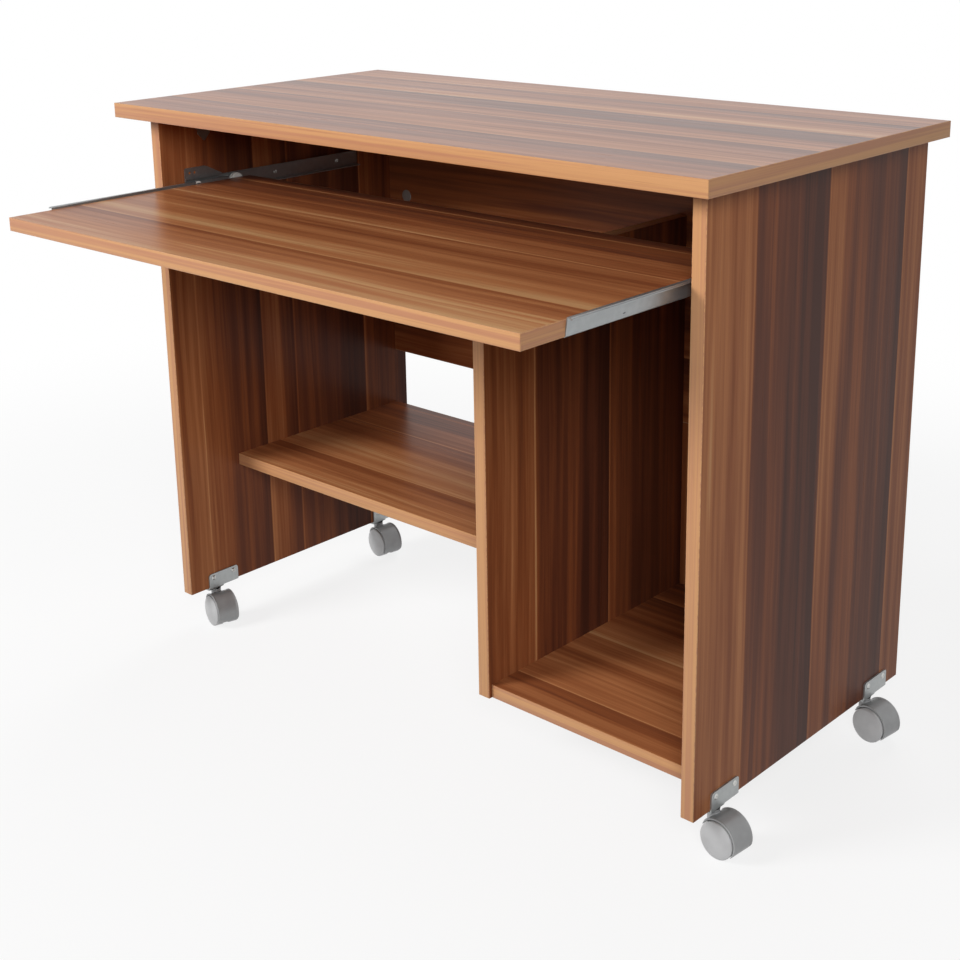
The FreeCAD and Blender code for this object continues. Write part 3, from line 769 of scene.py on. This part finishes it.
def hood_tree():
    """Build the tree that moulds a castor's hood, web and neck as one smooth solid."""
    sockets = {key: "Float" for key in HOOD_SETTINGS + HOOD_LEVELS}
    sockets.update({key: "Vector" for key in ("stem", "low", "high")})
    sockets.update({key: "Int" for key in HOOD_STEPS})
    tree, graph, first, size, names = new_tree("moulded_hood", {**sockets, "finish": "Material"})
    x, y, z = graph.axes(graph.node("GeometryNodeInputPosition"))
    from_stem = (x * x + y * y).math("SQRT")
    ahead, above, side = x - size["trail"], z - size["wheel_radius"], abs(y)
    radius = (ahead * ahead + above * above).math("SQRT")
    rear, front, edge = size["hood_rear"], size["hood_front"], size["hood_edge"]
    past_rear = ahead * rear.math("SINE") - above * rear.math("COSINE")
    past_front = above * front.math("COSINE") - ahead * front.math("SINE")
    past_end = past_rear.math("MINIMUM", past_front)
    thin = past_end.ramp(-size["taper_length"], 0.0)
    bead_start = size["hood_half"] - size["bead_width"]
    bead = side.ramp(bead_start, bead_start + edge) * (1.0 - thin) * size["bead"]
    outer = size["hood_outer"] + bead - thin * size["taper"]
    room = size["hood_inner"] - radius
    wall = (radius - outer).math("SMOOTH_MAX", side - size["hood_half"], edge)
    wall = wall.math("SMOOTH_MAX", room, edge).math("SMOOTH_MAX", past_end, edge)
    neck = (from_stem - size["neck_radius"]).math("SMOOTH_MAX", z - size["neck_top"], edge * 2.0)
    neck = neck.math("MAXIMUM", size["neck_bottom"] - z)
    shell = wall.math("SMOOTH_MIN", neck, size["blend"]).math("SMOOTH_MAX", room, edge * 0.5)
    web = (side - size["web"] * 0.5).math("SMOOTH_MAX", -room - edge * 1.5, edge)
    web = web.math("SMOOTH_MAX", size["web_bottom"] - z, edge)
    bore = (from_stem - size["stem_bore"]).math("MAXIMUM", size["bore_bottom"] - z)
    solid = shell.math("MINIMUM", web).math("MAXIMUM", -bore)
    # The density passes through the skin's level at the solid's face, and changes by one in a millimetre.
    skin_level = 0.5
    box = {"Resolution " + key[-1].upper(): size[key] for key in HOOD_STEPS}
    box.update({"Background": 0.0, "Min": size["low"], "Max": size["high"]})
    cube = graph.node("GeometryNodeVolumeCube", {"Density": skin_level - solid * (1 / MM), **box})
    skin = graph.node("GeometryNodeVolumeToMesh", {
        "Volume": cube, "Threshold": skin_level, "Adaptivity": 0.02})
    stood = graph.node("GeometryNodeTransform", {
        "Geometry": skin, "Translation": size["stem"], "Rotation": graph.vector(z=size["turn"])})
    close_tree(graph, stood, size["finish"])
    return tree, names


class DESK_OT_boards(bpy.types.Operator):
    """Lay the wood-grain laminate on the boards"""
    bl_idname = "desk.boards"
    bl_label = "Boards"

    # Grain axis, axis across the planks, darkness of the pale lines, their places in millimetres, and the
    # kinds of plank between them.
    planks = {
        "tabletop": (X, Y, 0.04, (-45, 60, 166, 262), ("red", "warm", "red", "warm", "even")),
        "left_side": (Z, Y, 0.20, (-58, 51, 108, 242), ("even", "deep", "red", "dark", "deep")),
        "right_side": (Z, Y, 0.10, (-14, 121, 281), ("tan", "dark", "deep", "even")),
        "partition": (Z, Y, 0.14, (13, 151), ("rust", "dark", "dark")),
        "upper_back": (X, Z, 0.16, (400, 535, 640), ("red", "dark", "deep", "dark")),
        "bay_back": (Z, X, 0.08, (150, 262, 372), ("even", "red", "dark", "warm")),
        # Painted light: the shelf and the keyboard tray take the lighter kinds (glow, light, soft), so their
        # planks are lighter where light falls on them from above.
        "shelf": (X, Y, 0.05, (73, 203), ("glow", "light", "red")),
        "bay_floor": (X, Y, 0.02, (-20, 112, 246), ("rust", "tan", "warm", "red")),
        "keyboard_tray": (X, Y, 0.00, (-229, -93, 8), ("soft", "light", "rust", "deep")),
    }

    seed_step = 3.7

    def execute(self, context):
        look = context.scene.desk.laminate
        for number, (board, plan) in enumerate(self.planks.items()):
            dress(board, laminate(board, *plan, look, self.seed_step * number))
        return {"FINISHED"}


class DESK_OT_edging(bpy.types.Operator):
    """Band the boards' edges with rounded strips"""
    bl_idname = "desk.edging"
    bl_label = "Edging"

    thinnest = 0.5 * MM

    def strips(self, board):
        """Find a board's strips: each has its axis, its outer face and its two corners."""
        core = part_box(board)
        low, high = [corner * MM for corner in whole(board)]
        found = []
        for axis in (Y, X, Z):
            for sign, limit, inner in ((-1, low, core[0]), (1, high, core[1])):
                if abs(limit[axis] - inner[axis]) < self.thinnest:
                    continue
                corners = [low.copy(), high.copy()]
                corners[0 if sign > 0 else 1][axis] = inner[axis]
                found.append((axis, limit[axis], *corners))
                limit[axis] = inner[axis]
        return found

    def rim_edges(self, verts, axis, face, rim):
        """Find the edges of a strip's outer face that lie on the board's rim."""
        outer = [vert for vert in verts if abs(vert.co[axis] - face) < TINY]
        edges = []
        for edge in dict.fromkeys(edge for vert in outer for edge in vert.link_edges):
            one, two = edge.verts
            if one not in outer or two not in outer:
                continue
            side = next(i for i in range(3) if i != axis and abs(one.co[i] - two.co[i]) < TINY)
            if any(abs(one.co[side] - corner[side]) < TINY for corner in rim):
                edges.append(edge)
        return edges

    def execute(self, context):
        look = context.scene.desk.edging
        grains = [edging_finish(axis, look) for axis in (X, Y, Z)]
        for board in DESK_OT_boards.planks:
            bm = bmesh.new()
            rim = [corner * MM for corner in whole(board)]
            for axis, face, low, high in self.strips(board):
                verts = box_into(bm, low, high)
                spans = [high[i] - low[i] for i in range(3)]
                for side in dict.fromkeys(side for vert in verts for side in vert.link_faces):
                    side.material_index = spans.index(max(spans))
                edges = self.rim_edges(verts, axis, face, rim)
                bmesh.ops.bevel(bm, geom=edges, offset=look.rounding, segments=3, profile=0.5, affect="EDGES")
            put(board + "_band", raw_mesh(bm, board), grains, "edging", board + "_edging", sharp=60.0)
        return {"FINISHED"}


class DESK_OT_slides(bpy.types.Operator):
    """Roll the rails of the tray's slides and turn their rollers"""
    bl_idname = "desk.slides"
    bl_label = "Roller Slides"

    # Distances of the lug's holes from the rail's front end in millimetres.
    lug_holes = (8.0, 16.0)
    # The lug is a little thinner than its rail, so that no faces of the two coincide.
    lug_gauge = 0.97
    # Walls of a roller's hub and rim, and depth and slope of the groove between them, in millimetres.
    hub_wall, rim_wall, groove, slope = 1.8, 2.0, 0.45, 0.2

    def cabinet_rail(self, look):
        """Fold a channel with a lug on its front end, and punch the lug's holes."""
        low, high = box_mm("right_cabinet_rail")
        gauge, bend, corner, ramp, hole = mm(look, "gauge", "bend", "lug_corner", "lug_ramp", "lug_hole")
        top, foot = low.z + look.channel / MM, low.y + look.lug_length / MM
        web, floor, lip = high.x - gauge / 2, low.z + gauge / 2, top - gauge / 2
        reach = high.x - look.lip / MM
        path = rounded([(low.x, floor), (web, floor), (web, lip), (reach, lip)], (bend, bend))
        channel = folded("rail", [(p.x, p.y, low.y, high.y) for p in path], gauge)
        stations = [(web, (floor + lip) / 2, low.y, foot), (web, top, low.y, foot)]
        for drop, cut in corner_arc(corner):
            z = high.z - drop
            slope = ramp * (z - top) / (high.z - top)
            stations.append((web, z, low.y + cut, foot - slope - cut))
        lug = folded("rail", stations, gauge * self.lug_gauge)
        rail = joined(channel, [lug], "UNION")
        holes = []
        for offset in self.lug_holes:
            middle = Vector((web, low.y + offset, (top + high.z) / 2)) * MM
            punch = [(-gauge, 0), (-gauge, hole), (gauge, hole), (gauge, 0)]
            holes.append(turned("hole", punch, stand(middle, math.pi / 2, "Y"), steps=24))
        return joined(rail, holes, "DIFFERENCE")

    def tray_rail(self, look):
        """Fold a rail whose rolled flange ends short of the rear roller."""
        low, high = box_mm("right_tray_rail")
        tray = whole("keyboard_tray")[1]
        gauge, bend, curl, downturn, gap = mm(look, "gauge", "bend", "curl", "downturn", "flange_gap")
        web, foot = tray.x + gauge / 2, low.z + gauge / 2
        rim, flange = high.x - gauge / 2, high.z - gauge / 2
        start = [(low.x, foot), (web, foot)]
        hook = [(web, flange), (rim, flange), (rim, flange - downturn)]
        full = rounded(start + hook, (bend, curl, curl))
        tail = rounded(start + [(web, tray.z)], (bend,))
        end, overlap = box_mm("right_rear_roller")[0].y - gap, gauge / 10
        front = folded("rail", [(p.x, p.y, low.y, end) for p in full], gauge)
        rear = folded("rail", [(p.x, p.y, end - overlap, high.y) for p in tail], gauge)
        return joined(front, [rear], "UNION")

    def roller(self, node, look):
        """Turn a roller with rounded edges and a shallow groove in each face."""
        low, high = box_mm(node)
        bore, edge = mm(look, "bore", "roller_edge")
        radius, width = (high.z - low.z) / 2, high.x - low.x
        hub, rim = bore + self.hub_wall, radius - self.rim_wall
        ring = [(0.0, bore)] + grooved_face(hub, rim, self.groove, self.slope, radius, edge)
        ring += [(width - height, reach) for height, reach in reversed(ring)]
        start = Vector((low.x, (low.y + high.y) / 2, (low.z + high.z) / 2)) * MM
        return turned(node, ring, stand(start, math.pi / 2, "Y"), closed=True)

    def execute(self, context):
        desk = context.scene.desk
        look = desk.slides
        steel = steel_finish("slide_steel_satin", look.steel, Y, roughness=0.30, metallic=0.75)
        nylon = plastic_finish("roller_nylon_moulded", look.nylon, roughness=0.38)
        pins = steel_finish("roller_pin_steel", desk.fittings.zinc, X, roughness=0.26)
        shapes = {"cabinet_rail": self.cabinet_rail(look), "tray_rail": self.tray_rail(look)}
        for name, shape in shapes.items():
            for side, flip in (("right", 1), ("left", -1)):
                node = side + "_" + name
                bm = bmesh.new()
                bm.from_mesh(shape)
                bm.transform(Matrix.Diagonal((flip, 1, 1, 1)))
                put(side + "_rolled_" + name, raw_mesh(bm, name), [steel], "slide_steel", node, sharp=30.0)
            bpy.data.meshes.remove(shape)
        for side in ("left", "right"):
            for end in ("front", "rear"):
                node = side + "_" + end + "_roller"
                put(node + "_wheel", self.roller(node, look), [nylon], "roller_nylon", node, sharp=40.0)
        for node in ("front_roller_pins", "rear_roller_pins"):
            dress(node, pins)
        return {"FINISHED"}


def castor_turn(corner):
    """Give a castor's stem on the floor, in metres, and its turn from the place of its axle."""
    joints = {joint["name"]: joint for joint in frame["joints"]}
    stem = Vector(joints[corner + "_castor_swivel"]["pos_m"])
    axle = Vector(joints[corner + "_castor_left_wheel_spin"]["pos_m"])
    return Vector((stem.x, stem.y, 0)), math.atan2(axle.y - stem.y, axle.x - stem.x)


class DESK_OT_castors(bpy.types.Operator):
    """Mould the castors' hoods and turn their wheels"""
    bl_idname = "desk.castors"
    bl_label = "Castors"

    # A wheel's hub, the wall of its rim, its hollow inner face and its edge in millimetres.
    hub, rim_wall, hollow, slope, edge = 5.3, 2.9, 0.9, 0.3, 1.0
    # The seam between tread and disc as (height, radius) points from the tread's outer edge.
    seam = ((-0.8, 0.0), (-0.6, -0.25), (-0.4, -0.25), (-0.2, 0.0), (0.15, -0.05))
    # The disc's start beyond the tread, its inset, and the powers that shape its dome.
    disc_start, disc_inset, flatness, fullness = 0.3, 0.15, 2.6, 0.74

    def wheel(self, look, sign, place):
        """Turn one wheel: a hollowed inner face, a tread, a groove and a domed disc."""
        radius, inner, tread, rise = mm(look, "wheel_radius", "wheel_inner", "tread", "disc_rise")
        rim = radius - self.rim_wall
        profile = [(0.0, 0.0)]
        profile += grooved_face(self.hub, rim, self.hollow, self.slope, radius, self.edge, steps=3)
        profile += [(tread + height, radius + reach) for height, reach in self.seam]
        base, brim, steps = tread + self.disc_start, radius - self.disc_inset, 24
        for i in range(steps + 1):
            reach = math.cos(math.pi / 2 * i / steps) if i < steps else 0.0
            dome = (1 - reach ** self.flatness) ** self.fullness
            profile.append((base + (tread + rise - base) * dome, brim * reach))
        along = Matrix.Rotation(-sign * math.pi / 2, 4, "X")
        profile = [(inner + height, reach) for height, reach in profile]
        return turned("wheel", profile, place @ along, steps=96)

    def hood_sizes(self, look, paint):
        """List the hood tree's inputs that all castors share."""
        lowest, neck_top = [corner.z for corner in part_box("right_front_castor_hood")]
        reach = look.hood_outer + look.bead
        margin = Vector((look.blend,) * 3)
        low = Vector((look.trail - reach, -look.hood_half, lowest)) - margin
        high = Vector((look.trail + reach, look.hood_half, neck_top)) + margin
        sizes = {key: getattr(look, key) for key in HOOD_SETTINGS}
        sizes.update({key: int((high[i] - low[i]) / look.voxel) for i, key in enumerate(HOOD_STEPS)})
        sizes.update({"low": low, "high": high, "finish": paint, "bore_bottom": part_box("castor_stems")[0].z})
        sizes.update({"neck_top": neck_top, "neck_bottom": neck_top - look.neck_drop})
        sizes["web_bottom"] = look.wheel_radius - look.web_drop
        return sizes

    def execute(self, context):
        desk = context.scene.desk
        look = desk.castors
        silver = {"metallic": 0.35, "flake": 0.25}
        hood_paint = plastic_finish("castor_hood_silver", look.hood, roughness=0.34, **silver)
        disc_paint = plastic_finish("castor_disc_silver", look.disc, roughness=0.32, **silver)
        axle_steel = steel_finish("castor_axle_steel", desk.fittings.zinc, Y, roughness=0.28)
        tree, names = hood_tree()
        sizes = self.hood_sizes(look, hood_paint)
        for corner in CORNERS:
            stem, turn = castor_turn(corner)
            name = corner + "_castor"
            values = {**sizes, "stem": stem, "turn": turn}
            mesh = grow(name, tree, names, values, bpy.data.meshes.new("hood"))
            put(name + "_moulded_hood", mesh, [hood_paint], "castor_plastic", name + "_hood", sharp=50.0)
            dress(name + "_axle", axle_steel)
            place = stand(stem, turn, "Z") @ Matrix.Translation((look.trail, 0, look.wheel_radius))
            for hand, sign in (("right", 1), ("left", -1)):
                wheel = name + "_" + hand + "_wheel"
                disc = self.wheel(look, sign, place)
                put(wheel + "_disc", disc, [disc_paint], "disc_plastic", wheel, sharp=32.0)
        return {"FINISHED"}


class DESK_OT_plates(bpy.types.Operator):
    """Fold the castors' plates and rivet their stems"""
    bl_idname = "desk.plates"
    bl_label = "Castor Plates"

    # A stem's radius, its foot's radius and bevel, and its head as (height, radius) points from its top.
    stem, foot, bevel = 3.0, 2.6, 0.5
    head = ((-1.5, 3.0), (-1.5, 4.5), (-0.8, 4.4), (-0.3, 3.6), (-0.05, 2.2), (0.0, 0.0))
    # A washer's radius, the radius of its faces, and the height of the bevel between.
    washer, washer_face, washer_bevel = 7.0, 6.8, 0.15
    # Height of the step between a plate's two lower corners. All of these are in millimetres.
    ledge = 0.02

    def stations(self, node, look):
        """List a plate's stations from the end of its tab up to its rounded top."""
        low, high = box_mm(node)
        gauge, bend, tongue, fillet, corner = mm(look, "gauge", "bend", "tongue", "fillet", "corner")
        face, flat, shoulder = high.x - gauge / 2, low.z + gauge / 2, low.z + look.shoulder / MM
        end, over = low.y + tongue, shoulder + self.ledge
        path = rounded([(low.x, flat), (face, flat), (face, shoulder)], (bend,))
        made = [(p.x, p.y, low.y, end) for p in path[:-1]]
        made += [(face, shoulder - drop, low.y, end + cut) for drop, cut in corner_arc(fillet)]
        made += [(face, over + cut, low.y, high.y - drop) for drop, cut in corner_arc(fillet)]
        made += [(face, high.z - drop, low.y + cut, high.y - cut) for drop, cut in corner_arc(corner)]
        return made

    def execute(self, context):
        desk = context.scene.desk
        look = desk.plates
        steel = steel_finish("plate_steel_zinc", look.steel, Z, roughness=0.32, metallic=0.85)
        rivet = steel_finish("castor_stem_steel", desk.fittings.zinc, Z, roughness=0.28)
        rubber = plastic_finish("castor_washer_black", desk.castors.washer, roughness=0.45)
        low, top = [corner.z for corner in box_mm("castor_stems")]
        under, over = [corner.z for corner in box_mm("castor_washers")]
        shaft = [(low, 0.0), (low, self.foot), (low + self.bevel, self.stem)]
        shaft += [(top + height, reach) for height, reach in self.head]
        ring = [(under, self.stem), (under, self.washer_face), (under + self.washer_bevel, self.washer)]
        ring += [(over - self.washer_bevel, self.washer), (over, self.washer_face), (over, self.stem)]
        stems, washers = bmesh.new(), bmesh.new()
        for corner in CORNERS:
            node = corner + "_castor_plate"
            plate = folded(node, self.stations(node, look), look.gauge / MM)
            put(corner + "_castor_folded_plate", plate, [steel], "plate_steel", node, sharp=30.0)
            place = Matrix.Translation(castor_turn(corner)[0])
            lathe(stems, shaft, place, steps=32)
            lathe(washers, ring, place, steps=48, closed=True)
        rivets, rings = raw_mesh(stems, "stems"), raw_mesh(washers, "washers")
        put("castor_stem_rivets", rivets, [rivet], "zinc", "castor_stems", sharp=35.0)
        put("castor_washer_rings", rings, [rubber], "washer_plastic", "castor_washers", sharp=35.0)
        return {"FINISHED"}


# Distances of the brackets from the sides' front edges, from the back and from the middle in millimetres.
BRACKET_FRONT, BRACKET_REAR, BRACKET_SPREAD = 69.0, 60.0, 200.0


def bracket_corners():
    """Give the corners that hold a bracket, in millimetres, each with its turn in degrees."""
    left, right = box_mm("left_side")[1].x, box_mm("right_side")[0].x
    back, under = box_mm("upper_back")[0].y, box_mm("tabletop")[0].z
    rows = (whole("left_side")[0].y + BRACKET_FRONT, back - BRACKET_REAR)
    sides = [(Vector((x, y, under)), turn) for y in rows for x, turn in ((left, 0.0), (right, 180.0))]
    return sides + [(Vector((x, back, under)), -90.0) for x in (-BRACKET_SPREAD, BRACKET_SPREAD)]


class DESK_OT_brackets(bpy.types.Operator):
    """Fold the angle brackets under the tabletop"""
    bl_idname = "desk.brackets"
    bl_label = "Angle Brackets"

    def execute(self, context):
        look = context.scene.desk.plates
        steel = steel_finish("bracket_steel_zinc", look.steel, None, roughness=0.34, metallic=0.85)
        leg, width, gauge, bend, tip = mm(look, "leg", "leg_width", "leg_gauge", "leg_bend", "leg_tip")
        middle, half = gauge / 2, width / 2
        path = rounded([(middle, -leg), (middle, -middle), (leg, -middle)], (bend,))
        stations = [(middle, -leg, -tip / 2, tip / 2), (middle, half - leg, -half, half)]
        stations += [(p.x, p.y, -half, half) for p in path[1:-1]]
        stations += [(leg - half, -middle, -half, half), (leg, -middle, -tip / 2, tip / 2)]
        bm = bmesh.new()
        for corner, turn in bracket_corners():
            folded_sheet(bm, stations, gauge, stand(corner * MM, math.radians(turn), "Z"))
        mesh = raw_mesh(bm, "brackets")
        put("folded_angle_brackets", mesh, [steel], "plate_steel", "angle_brackets", sharp=30.0)
        return {"FINISHED"}


class DESK_OT_screws(bpy.types.Operator):
    """Drive the screws and set the cover caps"""
    bl_idname = "desk.screws"
    bl_label = "Screws and Caps"

    # Distances of the rails' screws from the rails' front ends, and of the plates' screws from the plates'
    # ends and tops, in millimetres.
    cabinet_offsets = (44.0, 150.0, 262.0)
    tray_offsets = (82.0, 190.0, 252.0)
    plate_inset, plate_drop = 8.0, 6.0
    # Share of a pan head's radius that its face takes.
    pan_face = 0.80

    def on_brackets(self, look):
        """Place the brackets' screws: one outward from the board, one down from the tabletop."""
        hole, gauge = mm(look, "leg_hole", "leg_gauge")
        places = []
        for corner, turn in bracket_corners():
            way = Matrix.Rotation(math.radians(turn), 3, "Z")
            places.append((corner + way @ Vector((gauge, 0, -hole)), way @ Vector((1, 0, 0))))
            places.append((corner + way @ Vector((hole, 0, -gauge)), Vector((0, 0, -1))))
        return places

    def on_plates(self):
        """Place the screws of the castors' plates."""
        places = []
        for corner in CORNERS:
            low, high = box_mm(corner + "_castor_plate")
            rows = (low.y + self.plate_inset, high.y - self.plate_inset)
            places += [((high.x, y, high.z - self.plate_drop), (1, 0, 0)) for y in rows]
        return places

    def on_cabinet_rails(self, look):
        """Place the screws that hold the rails on the sides."""
        low, high = box_mm("right_cabinet_rail")
        gauge, channel = mm(look, "gauge", "channel")
        x, z = high.x - gauge, low.z + channel / 2
        return [((sign * x, low.y + y, z), (-sign, 0, 0)) for y in self.cabinet_offsets for sign in (1, -1)]

    def on_tray_rails(self, look):
        """Place the screws that hold the rails on the tray."""
        front = box_mm("right_tray_rail")[0].y
        low, high = whole("keyboard_tray")
        x, z = high.x + look.gauge / MM, (low.z + high.z) / 2
        return [((sign * x, front + y, z), (sign, 0, 0)) for y in self.tray_offsets for sign in (1, -1)]

    def through_back(self, edge):
        """Place the screws through the two back boards into the partition's rear edge."""
        low, high = whole("partition")
        upper, lower = whole("upper_back"), whole("bay_back")
        heights = (upper[0].z + edge, high.z - edge, lower[0].z + edge, lower[1].z - edge)
        return [(((low.x + high.x) / 2, upper[1].y, z), (0, 1, 0)) for z in heights]

    def over_cams(self, setback, drop, edge):
        """Place the caps over the cams."""
        low, high = whole("upper_back")
        heights = (high.z - drop, low.z + edge)
        places = [((x, low.y, z), (0, -1, 0)) for x in (low.x + setback, high.x - setback) for z in heights]
        low, high = whole("bay_back")
        places += [((high.x - setback, high.y, z), (0, 1, 0)) for z in (high.z - edge, low.z + edge)]
        for board in ("shelf", "bay_floor"):
            low, high = whole(board)
            ends, rows = (low.x + setback, high.x - setback), (low.y + edge, high.y - edge)
            places += [((x, y, low.z), (0, 0, -1)) for x in ends for y in rows]
        return places

    def execute(self, context):
        desk = context.scene.desk
        look = desk.fittings
        setback, drop, edge = mm(look, "cap_setback", "cap_drop", "edge_setback")
        tree, names = screw_tree()
        zinc = steel_finish("screw_zinc", look.zinc, None, roughness=0.24)
        dark = steel_finish("screw_dark_zinc", look.dark_zinc, None, roughness=0.4, metallic=0.9)
        plastic = plastic_finish("cap_moulded", look.cap, roughness=0.42)
        shared = ("head_radius", "recess_length", "recess_width", "recess_depth", "twist_seed")
        pan = {
            **{key: getattr(look, key) for key in shared}, "face_radius": look.head_radius * self.pan_face,
            "head_height": look.head_side, "base": 0.0, "dome": look.head_height - look.head_side,
            "shank_radius": look.shank, "shank_length": look.length, "finish": zinc,
        }
        sunk = {**pan, "head_radius": look.shank, "face_radius": look.head_radius,
                "head_height": look.sunk_height, "base": -look.sunk_height, "dome": 0.0,
                "shank_length": look.length - look.sunk_height}
        dark_sunk = {**sunk, "finish": dark}
        deep = {**sunk, "shank_length": look.back_length - look.sunk_height}
        cover = {**pan, "head_radius": look.cap_radius, "face_radius": look.cap_radius - look.cap_side,
                 "head_height": look.cap_side, "dome": look.cap_dome, "recess_depth": 0.0,
                 "shank_length": look.cap_side * 2.0, "finish": plastic}
        jobs = [
            ("angle_screws", pan, self.on_brackets(desk.plates), "zinc"),
            ("castor_plate_screws", pan, self.on_plates(), "zinc"),
            ("cabinet_rail_screws", pan, self.on_cabinet_rails(desk.slides), "zinc"),
            ("tray_rail_screws", dark_sunk, self.on_tray_rails(desk.slides), "zinc"),
            ("back_screws", deep, self.through_back(edge), "zinc"),
            ("cam_caps", cover, self.over_cams(setback, drop, edge), "cap_plastic"),
        ]
        for node, sizes, places, slot in jobs:
            mesh = grow(node, tree, names, sizes, aimed_points(node, places))
            put(node + "_set", mesh, [sizes["finish"]], slot, node, sharp=40.0)
        for node in ("cam_locks", "cam_bolts"):
            dress(node, zinc)
        return {"FINISHED"}


class DESK_OT_stage(bpy.types.Operator):
    """Lay the floor, hang the lights and set the camera"""
    bl_idname = "desk.stage"
    bl_label = "Stage"

    # Each lamp's place and aim in metres, its width, and the setting that holds its power.
    lamps = {
        "key_light": ((-1.53, -2.65, 1.95), (0, 0, 0.4), 1.3, "key_power"),
        "fill_light": ((2.05, -2.05, 1.75), (0, 0, 0.4), 1.4, "fill_power"),
        "rear_light": ((-0.6, 2.3, 2.0), (0, 0.2, 0.5), 2.0, "rear_power"),
    }
    # The camera's place in metres, and the directions to its right and behind it.
    eye = (1.2396, -1.2805, 0.9741)
    eye_right = (0.73508, 0.67778, -0.01628)
    eye_back = (0.65576, -0.70469, 0.27091)
    # Half the floor's width, its drop under the castors, and the distances between which its shadow fades.
    floor_half, floor_drop, near, far = 6.0, 0.3 * MM, 0.75, 1.9
    # Share of white in the floor near the desk, where the shadow shows through it.
    white_near = 0.8

    def floor(self, look):
        """Lay a pale floor that the camera sees as white, apart from the desk's shadow."""
        material, graph = new_material("pale_floor")
        x, y, z = graph.place()
        white_share = (x * x + y * y).math("SQRT").ramp(self.near, self.far, start=self.white_near)
        seen = graph.seen()
        card = graph.node("ShaderNodeBsdfDiffuse", {"Color": graph.mix(seen, look.bounce, look.floor)})
        white = graph.node("ShaderNodeEmission", {"Color": (1, 1, 1, 1), "Strength": 1.0})
        mixed = graph.node("ShaderNodeMixShader", {0: seen * white_share, 1: card, 2: white})
        graph.node("ShaderNodeOutputMaterial", {"Surface": mixed})
        bm = bmesh.new()
        bmesh.ops.create_grid(bm, x_segments=8, y_segments=8, size=self.floor_half)
        bm.transform(Matrix.Translation((0, 0, -self.floor_drop)))
        mesh = bpy.data.meshes.new("floor")
        bm.to_mesh(mesh)
        bm.free()
        mesh.materials.append(material)
        add("floor", mesh)

    def world(self, look):
        """Surround the desk with a weak even light that the camera sees as white."""
        world = bpy.data.worlds.new("studio")
        graph = empty_graph(world)
        even = graph.node("ShaderNodeBackground", {"Color": (1, 1, 1, 1), "Strength": look.ambient})
        white = graph.node("ShaderNodeBackground", {"Color": (1, 1, 1, 1), "Strength": 1.0})
        mixed = graph.node("ShaderNodeMixShader", {0: graph.seen(), 1: even, 2: white})
        graph.node("ShaderNodeOutputWorld", {"Surface": mixed})
        bpy.context.scene.world = world

    def lamp(self, name, place, aim, size, power):
        """Hang a soft lamp that lights the desk but shows in no reflection."""
        light = bpy.data.lights.new(name, "AREA")
        light.shape = "DISK"
        light.size = size
        light.energy = power
        obj = add(name, light)
        obj.location = place
        obj.rotation_euler = (Vector(aim) - Vector(place)).to_track_quat("-Z", "Y").to_euler()
        obj.visible_glossy = False

    def camera(self, look):
        """Set the camera at the photograph's viewing angle."""
        data = bpy.data.cameras.new("camera")
        data.lens = look.lens
        data.shift_y = look.shift
        data.dof.use_dof = False
        obj = add("camera", data)
        back = Vector(self.eye_back).normalized()
        up = back.cross(Vector(self.eye_right)).normalized()
        turn = Matrix((up.cross(back), up, back)).transposed().to_4x4()
        obj.matrix_world = Matrix.Translation(self.eye) @ turn
        bpy.context.scene.camera = obj

    def execute(self, context):
        look = context.scene.desk.stage
        self.floor(look)
        self.world(look)
        for name, (place, aim, size, power) in self.lamps.items():
            self.lamp(name, place, aim, size, getattr(look, power))
        self.camera(look)
        context.scene.view_settings.view_transform = "Standard"
        return {"FINISHED"}


GROUPS = {
    "laminate": LaminateSettings, "edging": EdgingSettings, "slides": SlideSettings,
    "castors": CastorSettings, "plates": PlateSettings, "fittings": FittingSettings, "stage": StageSettings,
}


@labelled
class DeskSettings(bpy.types.PropertyGroup):
    """All settings of the desk."""
    __annotations__ = {key: PointerProperty(type=group, description=group.__doc__)
                       for key, group in GROUPS.items()}


OPERATORS = (DESK_OT_boards, DESK_OT_edging, DESK_OT_slides, DESK_OT_castors, DESK_OT_plates,
             DESK_OT_brackets, DESK_OT_screws, DESK_OT_stage)


class DESK_PT_panel(bpy.types.Panel):
    """List the settings and the operators of the desk"""
    bl_label = "Writing Desk"
    bl_idname = "DESK_PT_panel"
    bl_space_type = "VIEW_3D"
    bl_region_type = "UI"
    bl_category = "Desk"

    def draw(self, context):
        desk = context.scene.desk
        for key, group in GROUPS.items():
            box = self.layout.box()
            box.label(text=label(key))
            for setting in group.__annotations__:
                box.prop(getattr(desk, key), setting)
        for operator in OPERATORS:
            self.layout.operator(operator.bl_idname)


CLASSES = (*GROUPS.values(), DeskSettings, *OPERATORS, DESK_PT_panel)


def register():
    for cls in CLASSES:
        bpy.utils.register_class(cls)
    bpy.types.Scene.desk = PointerProperty(type=DeskSettings)


def unregister():
    del bpy.types.Scene.desk
    for cls in reversed(CLASSES):
        bpy.utils.unregister_class(cls)


def main():
    register()
    for operator in OPERATORS:
        group, name = operator.bl_idname.split(".")
        getattr(getattr(bpy.ops, group), name)()


if __name__ == "__main__":
    main()
